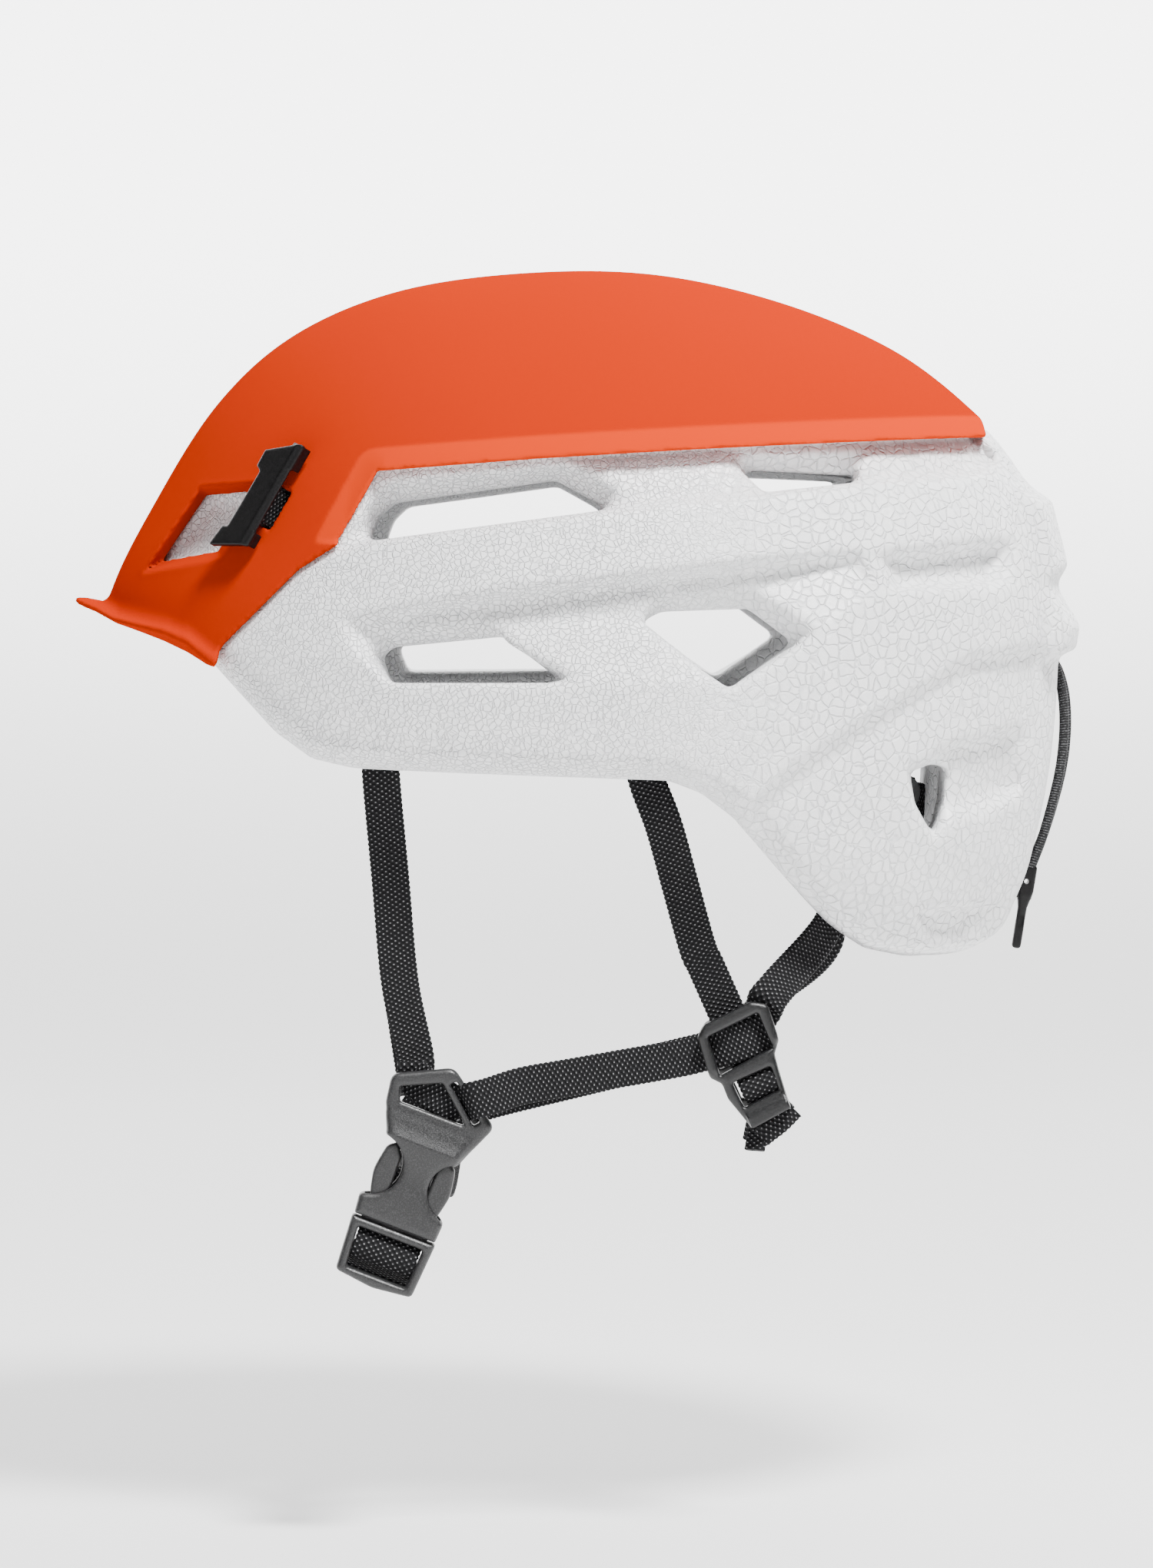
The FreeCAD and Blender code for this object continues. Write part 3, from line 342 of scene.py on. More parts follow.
def ridge_distance(grid):
    shrink = np.sqrt(np.maximum(1 - (np.abs(grid.x) / HALF_WIDTH) ** ACROSS, 0.05))
    near = grid.x.ravel() < RIDGE_HALF + 8
    result = np.full((grid.x.size, grid.y.size, grid.z.size), 9.0, np.float32)
    ys, zs = grid.y.ravel() > 90, (grid.z.ravel() > 15) & (grid.z.ravel() < 100)
    for i in np.nonzero(near)[0]:
        s = float(shrink[i, 0, 0])
        y = grid.yy[np.ix_(ys, zs)] / s
        z = DOME_Z + (grid.zz[np.ix_(ys, zs)] - DOME_Z) / s
        d = outline_distance(RIDGES, y, z) * s
        result[np.ix_([i], ys, zs)] = soft_max(d, np.float32(grid.x[i, 0, 0] - RIDGE_HALF), 2.5)[None]
    return result


def foam_field(grid):
    dome = grid.dome()
    under_shell = ramp(1 - grid.flat(SHELL_REGION) / 1.2)
    body = dome + FOAM_INSET + UNDER_SHELL * under_shell
    upper = ramp(0.5 - grid.flat(UPPER_BAND) / 1.3)
    body = body + UPPER_DEPTH * upper
    lower = ramp(-grid.flat(LOWER_BAND) / 3.6)
    foot = ramp(grid.flat(LOWER_BAND_FOOT, False) / 19)
    body = body + LOWER_DEPTH * lower * foot
    off_middle = ramp((grid.x - 24) / 14)
    body = body + STEP_DEPTH * ramp(-grid.flat(STEP) / STEP_RUN) * off_middle
    body = body + LEDGE_DEPTH * ramp(-grid.flat(LEDGE) / 1.4) * off_middle
    below = np.clip(-grid.flat(MOULD_LINE + BELOW_MOULD_LINE), 0, 9)
    body = body + MOULD_STEP * ramp(below / 1.2) + MOULD_TUCK * below
    for line in (MOULD_LINE, MOULD_BRANCH, REAR_CORNER):
        body = body - FLASH_RISE * np.exp(-(grid.flat(line, False) / FLASH_HALF) ** 2)
    body = soft_min(body, ridge_distance(grid), 2.0)
    for mouth, throat, depth, through in VENTS:
        body = soft_max(body, -vent_cut(grid, dome, mouth, throat, depth, through), 1.3)
    body = soft_max(body, -grid.flat(NAPE_HOLE), 2.0)
    brow = vent_cut(grid, dome, BROW_WINDOW, BROW_FLOOR, BROW_DEPTH, False)
    body = soft_max(body, -brow, 2.0)
    collar_room = np.maximum(grid.flat(BROW_WINDOW) - COLLAR_T - 0.2, -(dome + COLLAR_DEPTH + 0.4))
    body = np.maximum(body, -collar_room)
    body = soft_max(body, grid.flat(RIM), 9.0)
    return soft_max(body, -grid.cavity(), 4.0)


def shell_field(grid):
    dome = grid.dome()
    flare = edge_band(grid.yy, grid.zz, BAND_W)[None]
    lift = np.interp(grid.y.ravel(), EDGE_TURNS, [-EDGE_CHAMFER, EDGE_FLARE]).astype(np.float32)
    outer = dome - lift[None, :, None] * flare
    wall = soft_max(outer, -(dome + SHELL_T), 0.5)
    wall = soft_max(wall, grid.flat(SHELL_REGION), 0.9)
    line = np.interp(grid.y.ravel(), [p[0] for p in BRIM_LINE], [p[1] for p in BRIM_LINE]).astype(np.float32)
    sheet = np.abs(grid.z - line[None, :, None] - 1.0) - 0.85
    share = side_share(grid.yy + BRIM_OUT, grid.zz).astype(np.float32)[None]
    reach = grid.as_distance(np.sqrt(share ** 2 + (np.abs(grid.x) / (HALF_WIDTH * 0.95)) ** ACROSS))
    brim = soft_max(soft_max(sheet, reach, 1.2), grid.y + 101 + 0 * sheet, 1.0)
    shell = soft_min(wall, brim, 5.0)
    shell = soft_max(shell, -(dome + SHELL_T), 0.5)
    window = grid.flat(BROW_WINDOW)
    opening = window + COLLAR_SLOPE * ramp(-dome / COLLAR_DEPTH)
    collar = soft_max(np.maximum(dome, -(dome + COLLAR_DEPTH)), window - COLLAR_T, 0.6)
    return soft_max(soft_min(shell, collar, 0.6), -opening, 0.8)


# -------------------- materials
class Look:
    """A procedural material, built on its Principled shader through short helpers."""

    def __init__(self, name, colour, rough, **sockets):
        self.mat = bpy.data.materials.new(name)
        self.mat.use_nodes = True
        self.tree = self.mat.node_tree
        self.shader = self.tree.nodes["Principled BSDF"]
        self.set("Base Color", (*colour, 1))
        self.set("Roughness", rough)
        for key, value in sockets.items():
            self.set(key.replace("_", " "), value)

    def set(self, socket, value):
        self.put(self.shader.inputs[socket], value)

    def put(self, socket, value):
        if isinstance(value, bpy.types.NodeSocket):
            self.tree.links.new(value, socket)
        else:
            socket.default_value = value

    def node(self, kind, values, **settings):
        node = self.tree.nodes.new("ShaderNode" + kind)
        for key, value in settings.items():
            setattr(node, key, value)
        for key, value in values.items():
            self.put(node.inputs[key], value)
        return node

    def place(self):
        return self.node("TexCoord", {}).outputs["Object"]

    def weave_axes(self):
        """Millimetres along and across a piece of webbing or cord."""
        weave = self.node("UVMap", {}, uv_map="weave").outputs["UV"]
        return self.axis(weave, "X"), self.axis(weave, "Y")

    def calc(self, operation, *values, clamp=False):
        return self.node("Math", dict(enumerate(values)), operation=operation, use_clamp=clamp).outputs[0]

    def noise(self, size_mm, detail=2.0, where=None):
        values = {"Vector": where or self.place(), "Scale": 1000.0 / size_mm, "Detail": detail}
        return self.node("TexNoise", values).outputs["Fac"]

    def step(self, value, low, high, to_low=0.0, to_high=1.0):
        values = {"Value": value, "From Min": low, "From Max": high, "To Min": to_low, "To Max": to_high}
        return self.node("MapRange", values, clamp=True, interpolation_type="SMOOTHSTEP").outputs["Result"]

    def mix(self, share, first, second):
        node = self.node("Mix", {0: share}, data_type="RGBA")
        for socket, colour in ((node.inputs[6], first), (node.inputs[7], second)):
            self.put(socket, (*colour, 1) if isinstance(colour, tuple) else colour)
        return node.outputs[2]

    def painted_nook_shade(self, reach_mm, most):
        """How far a point lies in a corner or a recess, as a mask for painted shade there."""
        open_sky = self.node("AmbientOcclusion", {"Distance": reach_mm * MM}, samples=6).outputs["AO"]
        return self.step(open_sky, 0.3, 0.8, most, 0.0)

    def vector(self, operation, first, second=(0.0, 0.0, 0.0)):
        return self.node("VectorMath", {0: first, 1: second}, operation=operation).outputs[0]

    def axis(self, vector, letter):
        return self.node("SeparateXYZ", {"Vector": vector}).outputs[letter]

    def cavity_level(self):
        """1 on the head cavity's wall and more outside it."""
        place = self.vector("SUBTRACT", self.place(), [c * MM for c in CAVITY_AT])
        above = self.vector("MAXIMUM", place, (-9.0, -9.0, 0.0))
        scaled = self.vector("MULTIPLY", above, [1 / (c * MM) for c in CAVITY])
        return self.node("VectorMath", {0: scaled}, operation="LENGTH").outputs["Value"]

    def bump(self, height, depth_mm, strength=1.0, under=None):
        values = {"Height": height, "Distance": depth_mm * MM, "Strength": strength}
        if under:
            values["Normal"] = under
        normal = self.node("Bump", values).outputs["Normal"]
        self.set("Normal", normal)
        return normal


SMALL_BEADS, LARGE_BEADS = 620.0, 330.0     # beads in a metre


def foam_look():
    """Fused white beads, small and faint in front and larger towards the nape, with painted shade in corners
    and recesses and a painted shadow that darkens the head cavity's wall.
    """
    look = Look("bead foam", (0.85, 0.85, 0.85), 0.5)
    place = look.place()
    wobble = look.node("TexNoise", {"Vector": place, "Scale": 260.0, "Detail": 1.0}).outputs["Color"]
    bent = look.vector("ADD", place, look.vector("MULTIPLY", wobble, (0.0016, 0.0016, 0.0016)))
    rear = look.step(look.axis(place, "Y"), 0.0, 0.07)
    edges = []
    for scale in (SMALL_BEADS, LARGE_BEADS):
        cells = look.node("TexVoronoi", {"Vector": bent, "Scale": scale}, feature="DISTANCE_TO_EDGE")
        edges.append(look.step(cells.outputs["Distance"], 0.0, 0.12))
    inner = look.calc("ADD", look.calc("MULTIPLY", edges[1], rear),
                      look.calc("MULTIPLY", edges[0], look.calc("SUBTRACT", 1.0, rear)))
    beads = look.node("TexVoronoi", {"Vector": bent, "Scale": LARGE_BEADS}, feature="F1")
    tint = look.axis(beads.outputs["Color"], "X")
    patchy = look.step(look.noise(24.0, 2.0), 0.38, 0.62, 0.3, 1.0)
    seam = look.calc("MULTIPLY", look.calc("SUBTRACT", 1.0, inner), patchy)
    base = look.mix(look.calc("MULTIPLY", tint, 0.6), (0.87, 0.87, 0.873), (0.76, 0.765, 0.775))
    beads_colour = look.mix(look.calc("MULTIPLY", seam, 0.42), base, (0.6, 0.61, 0.63))
    glint = look.step(look.noise(1.1, 2.0), 0.56, 0.72, 0.0, 0.6)
    beads_colour = look.mix(glint, beads_colour, (0.92, 0.92, 0.92))
    # painted shade: the bead colour turns grey in corners and recesses
    nook = look.mix(look.painted_nook_shade(4.0, 0.25), beads_colour, (0.5, 0.5, 0.51))
    # painted shadow: the head cavity's wall is painted dark grey, as if in shade
    inside = look.step(look.cavity_level(), 1.04, 1.08, 0.8, 0.0)
    look.set("Base Color", look.mix(inside, nook, (0.2, 0.2, 0.205)))
    look.set("Roughness", look.step(inner, 0.0, 1.0, 0.6, 0.42))
    fine = look.bump(look.noise(1.2, 3.0), 0.3, 0.6)
    look.bump(inner, 0.4, 0.9, fine)
    return look.mat


def shell_look():
    """Satin orange plastic with a slight orange-peel surface."""
    look = Look("orange shell", (0.23, 0.012, 0.0), 0.42)
    look.set("IOR", 1.0)
    mottle = look.noise(60.0, 2.0)
    body = look.mix(mottle, (0.37, 0.0165, 0.0), (0.355, 0.0155, 0.0))
    band = look.node("Attribute", {}, attribute_name="edge_band").outputs["Fac"]
    # painted light: the shell is painted a lighter orange along its lower edge
    look.set("Base Color", look.mix(look.calc("MULTIPLY", band, 0.7), body, (0.56, 0.034, 0.001)))
    look.set("Roughness", look.step(look.noise(9.0, 4.0), 0.3, 0.7, 0.38, 0.47))
    look.bump(look.noise(1.1, 2.0), 0.05, 0.22)
    return look.mat


def mark_band(shell):
    """Stores how near each point is to the shell's lower edge, where light from the foam shows through."""
    mesh = shell.data
    points = np.zeros(len(mesh.vertices) * 3, np.float32)
    mesh.vertices.foreach_get("co", points)
    _, y, z = points.reshape(-1, 3).T / MM
    near = ramp(edge_band(y, z, BAND_W) * BAND_W / 0.8)
    mesh.attributes.new("edge_band", "FLOAT", "POINT").data.foreach_set("value", near.astype(np.float32))


def plastic_look(name, colour, grain, rough, shine=0.5):
    """Spark-eroded black plastic: a fine grain with small pale facets."""
    look = Look(name, colour, rough, Specular_IOR_Level=shine)
    speck = look.noise(grain, 3.0)
    paler = tuple(c * 2.6 for c in colour)
    look.set("Base Color", look.mix(look.step(speck, 0.42, 0.72), colour, paler))
    look.set("Roughness", look.step(speck, 0.3, 0.7, rough - 0.08, rough + 0.1))
    look.bump(speck, 0.10, 0.55)
    return look.mat


ROW_MM, COLUMN_MM = 0.72, 1.04      # the weave's half repeats along and across the webbing


def webbing_look():
    """Black webbing: yarns that rise in staggered rows, each with a pale dot where the light catches it."""
    look = Look("webbing", (0.01, 0.01, 0.01), 0.75, Specular_IOR_Level=0.2)
    along, across = look.weave_axes()
    rows = look.calc("COSINE", look.calc("MULTIPLY", along, math.pi / ROW_MM))
    columns = look.calc("COSINE", look.calc("MULTIPLY", across, math.pi / COLUMN_MM))
    yarn = look.calc("MULTIPLY", rows, columns)
    fray = look.noise(0.8, 2.0)
    dot = look.calc("MULTIPLY", look.step(yarn, 0.6, 0.94), look.step(fray, 0.3, 0.62, 0.25, 1.0))
    # painted sheen: the yarns' crests are painted lighter than the hollows between them
    body = look.mix(look.step(yarn, -0.6, 0.6), (0.0015, 0.0015, 0.002), (0.008, 0.008, 0.009))
    look.set("Base Color", look.mix(dot, body, (0.22, 0.22, 0.225)))
    look.bump(yarn, 0.22, 0.9)
    return look.mat


def cord_look():
    """Dark grey elastic with close ribs round it and a pale fleck."""
    look = Look("elastic", (0.01, 0.01, 0.01), 0.6, Specular_IOR_Level=0.25)
    along, around = look.weave_axes()
    slant = look.calc("ADD", look.calc("MULTIPLY", along, 2 * math.pi / 0.75), around)
    rib = look.calc("SINE", slant)
    fleck = look.calc("MULTIPLY", look.step(rib, 0.2, 0.9), look.step(look.noise(0.5, 1.0), 0.42, 0.6))
    look.set("Base Color", look.mix(fleck, (0.005, 0.005, 0.0055), (0.09, 0.09, 0.095)))
    look.bump(rib, 0.16, 0.8)
    return look.mat


def pad_look():
    """Dark knitted pad cover with rows of small eyelets."""
    look = Look("pad cover", (0.02, 0.02, 0.022), 0.85, Sheen_Weight=0.15)
    eyelets = look.node("TexVoronoi", {"Vector": look.place(), "Scale": 480.0}, feature="F1")
    hole = look.step(eyelets.outputs["Distance"], 0.1, 0.45)
    look.set("Base Color", look.mix(hole, (0.006, 0.006, 0.007), (0.045, 0.046, 0.05)))
    look.bump(hole, 0.3, 0.7)
    return look.mat


foam_mat = foam_look()
shell_mat = shell_look()
webbing_mat = webbing_look()
cord_mat = cord_look()
pad_mat = pad_look()
buckle_mat = plastic_look("buckle plastic", (0.014, 0.014, 0.0144), 0.35, 0.4)
yoke_mat = plastic_look("yoke plastic", (0.004, 0.004, 0.0043), 0.4, 0.36)
clip_mat = plastic_look("clip plastic", (0.0025, 0.0023, 0.0025), 0.35, 0.36, 0.2)
band_mat = plastic_look("band plastic", (0.008, 0.008, 0.0085), 0.6, 0.5)
fastener_mat = plastic_look("fastener loops", (0.012, 0.012, 0.0125), 0.4, 0.8)


# -------------------- moulded pieces on flat working frames
def oblong(half, low, high, radius):
    """The corners of a rectangle, half to either side and from low to high."""
    return [(-half, low, radius), (half, low, radius), (half, high, radius), (-half, high, radius)]


class Plane:
    """A flat working frame in mm: n out of the plane, b across towards the front, a down."""

    def __init__(self, origin, n, b, a):
        self.origin = np.array(origin, float)
        self.n, self.b, self.a = [np.array(v, float) for v in (n, b, a)]
        self.axes = np.array([self.n, self.b, self.a])

    def at(self, b, a, n=0.0):
        return self.origin + self.b * b + self.a * a + self.n * n

    def all_at(self, places):
        return [self.at(*place) for place in places]


def side_plane(at, lean, x):
    """A frame in the side plane whose lower end leans back by lean degrees."""
    turn = math.radians(lean)
    sine, cosine = math.sin(turn), math.cos(turn)
    return Plane((x, *at), (1, 0, 0), (0, -cosine, -sine), (0, sine, -cosine))


def clip_plane():
    y, z = CLIP_AT
    turn = math.radians(CLIP_LEAN)
    normal = np.array(dome_normal(y, z))
    down = np.array((0, -math.sin(turn), -math.cos(turn)))
    down = down - normal * down.dot(normal)
    down /= np.linalg.norm(down)
    return Plane((dome_x(y, z), y, z), normal, np.cross(down, normal), down)


def rounded(corners, steps=5):
    """An outline of (b, a, radius) corners, with each corner rounded off."""
    points = []
    for i, (y, z, radius) in enumerate(corners):
        here = Vector((y, z))
        back = Vector(corners[i - 1][:2]) - here
        ahead = Vector(corners[(i + 1) % len(corners)][:2]) - here
        cut = min(radius / math.tan(back.angle(ahead) / 2), 0.48 * back.length, 0.48 * ahead.length)
        start, end = here + back.normalized() * cut, here + ahead.normalized() * cut
        for t in np.linspace(0, 1, steps):
            points.append(tuple(start * (1 - t) ** 2 + here * (2 * t * (1 - t)) + end * t * t))
    return points


def slab(grid, corners, low, high, soft=1.2):
    """A flat piece between two heights with softened rims."""
    flat = grid.flat(rounded(corners))
    return soft_max(flat, np.abs(grid.x - (low + high) / 2) - (high - low) / 2, soft)


def pierced(grid, field, holes, soft):
    """The field with holes right through it."""
    for hole in holes:
        field = soft_max(field, -grid.flat(rounded(hole)), soft)
    return field


def rod(grid, at_b, at_a, radius):
    """A round post square to the plane."""
    return np.hypot(grid.yy - at_b, grid.zz - at_a)[None] - radius


SOCKET_FRAME = [
    (11.2, -24.5, 2), (14.8, -31.5, 5), (16.0, -39.4, 3), (0.4, -47.0, 3.5), (-16.0, -35.4, 2.5),
    (-13.0, -28.5, 6), (-9.3, -21.0, 2),
]
SOCKET_WINDOW = [(12.6, -36.8, 0.8), (1.9, -41.8, 0.8), (-8.3, -33.0, 0.6), (11.0, -33.0, 0.8)]
SOCKET_SLOT = [(-0.2, -42.2, 0.4), (-1.6, -43.6, 0.4), (-11.6, -35.6, 0.4), (-10.2, -34.0, 0.4)]
SOCKET_BODY = [
    (-11.9, 0, 0.8), (11.9, 0, 0.8), (12.5, -5.4, 1.6), (10.4, -7.6, 1.5), (11.6, -25, 3), (13.6, -30.5, 3),
    (-11.6, -30.5, 3), (-9.8, -22.4, 1.5), (-10.4, -7.8, 1.5), (-12.2, -5.4, 1.6),
]
WAISTS = ((12.36, -14.73, 8.37), (-13.22, -14.67, 8.13))
CASE_LOW, CASE_HIGH = -1.0, 6.0


def socket_frame_field(grid):
    ring = slab(grid, SOCKET_FRAME, 0.0, 3.4, 2.0)
    return pierced(grid, ring, (SOCKET_WINDOW, SOCKET_SLOT), 1.2)


def socket_field(grid):
    """A slanted webbing frame on a waisted case whose face slopes away above and dips in the middle."""
    face = CASE_HIGH - 3.0 * ramp((-24.0 - grid.zz) / 7.0) - 0.5 * np.exp(-((grid.zz + 15) / 6.5) ** 2)
    case = grid.flat(rounded(SOCKET_BODY))
    for b, a, radius in WAISTS:
        case = soft_max(case, -rod(grid, b, a, radius), 1.2)
    case = soft_max(case, grid.x - face[None], 2.2)
    case = soft_max(case, CASE_LOW - grid.x, 1.2)
    case = soft_max(case, -grid.zz[None] - 31.5, 1.0)
    case = pierced(grid, case, (SOCKET_WINDOW, SOCKET_SLOT), 1.2)
    hollow = slab(grid, [(-11, -23.5, 1), (11, -23.5, 1), (11, 2, 0.1), (-11, 2, 0.1)], 0.5, 4.5, 0.4)
    case = soft_max(case, -hollow, 0.4)
    return soft_min(case, socket_frame_field(grid), 2.0)


PRONG = [
    (6.4, -3.0, 0.2), (9.6, -3.0, 0.2), (10.2, -7.2, 2), (11.4, -13.2, 6), (10.2, -20.6, 2),
    (7.4, -22.4, 1), (5.2, -19.0, 1), (4.9, -10.0, 1),
]


def prong_field(grid, side):
    outline = [(side * b, a, r) for b, a, r in PRONG]
    body = slab(grid, outline, 0.9, 4.15, 1.3)
    return soft_max(body, rod(grid, side * -6.5, -14.0, 18.0), 0.8)


PLUG_OUTLINE = [(-12.3, 0.4, 0.8), (12.3, 0.4, 0.8), (11.2, 16.4, 1.6), (0, 17.7, 12), (-11.2, 16.4, 1.6)]
PLUG_WINDOW = [(-9.5, 3.0, 0.8), (9.5, 3.0, 0.8), (8.7, 14.4, 1), (-8.7, 14.4, 1)]


def plug_field(grid):
    frame_part = slab(grid, PLUG_OUTLINE, CASE_LOW, CASE_HIGH - 0.3, 2.0)
    frame_part = pierced(grid, frame_part, (PLUG_WINDOW,), 1.6)
    bar = slab(grid, oblong(10, 7.2, 9.2, 0.5), 0.2, 2.6, 1.0)
    tongue = slab(grid, [(-2.2, -19, 1), (2.2, -19, 1), (2.2, 2, 0.2), (-2.2, 2, 0.2)], 0.9, 4.1, 0.6)
    root = slab(grid, oblong(9.6, -2.6, 2, 0.3), 0.9, 4.1, 0.6)
    result = soft_min(frame_part, bar, 0.8)
    return soft_min(soft_min(result, tongue, 0.6), root, 0.6)


YOKE_OUTLINE = [
    (10.1, 2.2, 2.5), (7.0, 0.0, 2.5), (-7.4, -0.6, 2.5), (-11.4, 2.0, 2.5), (-10.2, 12.4, 2),
    (-7.6, 15.4, 2), (-6.9, 20, 4), (-5.6, 30.6, 0.6), (6.6, 31.6, 0.6), (9.4, 21.5, 4), (9.2, 17.0, 2),
    (11.6, 14.2, 2),
]
YOKE_WINDOW = [(7.4, 3.6, 0.5), (-7.8, 3.0, 0.5), (-7.6, 13.3, 0.5), (8.6, 14.6, 0.5)]
YOKE_OPENING = [(6.3, 18.0, 0.6), (-5.0, 18.0, 0.6), (-4.4, 24.8, 0.5), (6.1, 25.4, 0.5)]
YOKE_BAR = [(-5.6, 25.2, 0.4), (6.6, 26.0, 0.4), (6.6, 31.6, 0.6), (-5.6, 30.6, 0.6)]


def yoke_field(grid):
    """A divider frame over a narrower ladder frame whose lower bar is bevelled."""
    body = slab(grid, YOKE_OUTLINE, 0.8, 4.0, 2.2)
    rim = slab(grid, YOKE_OUTLINE[:5] + YOKE_OUTLINE[-1:], 2.5, 4.5, 1.6)
    body = soft_min(body, rim, 0.8)
    bar = slab(grid, YOKE_BAR, 0.8, 5.2, 0.7)
    bevel = (grid.x - 5.2 + 0.75 * np.maximum(28.6 - grid.zz, 0)[None]) * 0.8
    body = soft_min(body, soft_max(bar, bevel, 0.3), 0.6)
    return pierced(grid, body, (YOKE_WINDOW, YOKE_OPENING), 1.4)


CLIP_OUTLINE = [
    (6.4, -12.8, 0.5), (-4.7, -19.2, 0.6), (-4.9, 12.8, 0.6), (7.2, 17.8, 0.6), (6.1, 11.3, 0.6),
    (4.3, 10.6, 0.8), (4.1, -6.9, 0.8), (6.2, -7.8, 0.6),
]
CLIP_LOW, CLIP_HIGH = 4.1, 6.2


def clip_field(grid):
    """A flat hook on two feet, bevelled along its rear edge, with the bar that its webbing loops round."""
    plate = slab(grid, CLIP_OUTLINE, CLIP_LOW, CLIP_HIGH, 0.5)
    bevel = (grid.x - CLIP_HIGH - 0.9 * (grid.yy + 3.4)[None]) * 0.74
    clip = soft_max(plate, bevel, 0.3)
    rear = grid.yy + 4.9
    for low, high in ((-18.6, -11.5), (8.5, 12.6)):
        foot = np.maximum(np.maximum(-rear, rear - 3.9), np.maximum(low - grid.zz, grid.zz - high))[None]
        foot = soft_max(foot, np.abs(grid.x - 3.2) - 2.1, 0.6)
        clip = soft_min(clip, foot, 0.8)
    bar = np.hypot(grid.x - CLIP_BAR_N, (grid.yy - CLIP_BAR_B)[None]) - CLIP_BAR_R
    bar = np.maximum(bar, (np.abs(grid.zz + 2.0) - 13.5)[None])
    return np.minimum(clip, bar)


TAB_OUTLINE = [
    (-3.9, -8.6, 1.2), (-1.3, -8.8, 0.8), (-0.2, -4.6, 0.8), (0.2, -4.6, 0.8), (1.3, -8.8, 0.8),
    (3.9, -8.6, 1.2), (3.4, 0.5, 2.0), (1.2, 6.4, 1.5), (2.0, 9.5, 3), (1.7, 16.0, 1.2),
    (-1.7, 16.0, 1.2), (-2.0, 9.5, 3), (-1.2, 6.4, 1.5), (-3.4, 0.5, 2.0),
]


def tab_field(grid):
    """A forked head with a small eye across it, over a thinner blade to pull."""
    half = 1.3 + 1.0 * ramp((4.0 - grid.zz) / 5.0)[None]
    body = soft_max(grid.flat(rounded(TAB_OUTLINE)), np.abs(grid.x - 0.2) - half, 1.2)
    body = soft_max(body, -rod(grid, 0, 0, 1.9), 0.5)
    return soft_max(body, EYE_R - np.hypot(grid.x, (grid.zz + EYE_UP)[None]), 0.4)


def moulded(name, plane, field, low, high, cell, look, mirrored=False):
    """Meshes a field in a frame. low and high are the field's corners as (n, b, a)."""
    size = cell
    grid = Grid(size, low, high)
    points, triangles, quads = grid.surface(field(grid))
    points = plane.origin + points @ plane.axes
    if mirrored:
        points, triangles, quads = mirror_faces(points, triangles, quads)
    obj = faces_to_object(name, points * MM, triangles, quads)
    obj.data.materials.append(look)
    return obj


def mirror_faces(points, triangles, quads):
    return points * np.array((-1, 1, 1)), triangles[:, ::-1], quads[:, ::-1]


# -------------------- webbing
def between(stations, step):
    """Even samples on a smooth curve through (point, width direction) stations."""
    rows = np.array([np.concatenate([p, w]) for p, w in stations], float)
    rows = np.concatenate([2 * rows[:1] - rows[1:2], rows, 2 * rows[-1:] - rows[-2:-1]])
    fine = []
    for span in zip(rows, rows[1:], rows[2:], rows[3:]):
        for t in np.linspace(0, 1, 24, endpoint=False):
            fine.append(along_curve(*span, t))
    fine.append(rows[-2])
    fine = np.array(fine)
    length = np.concatenate([[0], np.cumsum(np.linalg.norm(np.diff(fine[:, :3], axis=0), axis=1))])
    along = np.linspace(0, length[-1], max(2, round(length[-1] / step)))
    spaced = np.stack([np.interp(along, length, fine[:, i]) for i in range(6)], 1)
    return spaced[:, :3], spaced[:, 3:], along


def unit(rows):
    return rows / np.linalg.norm(rows, axis=-1, keepdims=True)


def sweep(name, centres, widths, heights, along, section, look, mirrored=False, shape=None):
    """A tube whose section is (across, up, weave) points; shape may change them along the way."""
    rows, count = len(centres), len(section)
    section = np.array(section, float)
    flat = np.repeat(section[None], rows, 0)
    if shape is not None:
        flat = shape(flat, along)
    points = centres[:, None] + widths[:, None] * flat[..., :1] + heights[:, None] * flat[..., 1:2]
    points = points.reshape(-1, 3)
    first = np.arange(rows - 1)[:, None] * count + np.arange(count)[None]
    beside = np.arange(rows - 1)[:, None] * count + (np.arange(count)[None] + 1) % count
    quads = np.stack([first, beside, beside + count, first + count], -1).reshape(-1, 4)
    if mirrored:
        points, _, quads = mirror_faces(points, np.zeros((0, 3), int), quads)
    obj = faces_to_object(name, points * MM, np.zeros((0, 3), int), quads)
    close_ends(obj.data, rows, count)
    across = np.repeat(section[None, :, 2], rows, 0).ravel()
    uv = np.stack([np.repeat(along, count), across], 1)
    loops = np.zeros(len(obj.data.loops), int)
    obj.data.loops.foreach_get("vertex_index", loops)
    layer = obj.data.uv_layers.new(name="weave")
    layer.data.foreach_set("uv", uv[loops].astype(np.float32).ravel())
    obj.data.materials.append(look)
    return obj


def close_ends(mesh, rows, count):
    work = bmesh.new()
    work.from_mesh(mesh)
    work.verts.ensure_lookup_table()
    for start in (0, (rows - 1) * count):
        face = work.faces.new([work.verts[start + i] for i in range(count)])
        face.smooth = False
    bmesh.ops.recalc_face_normals(work, faces=work.faces)
    work.to_mesh(mesh)
    work.free()


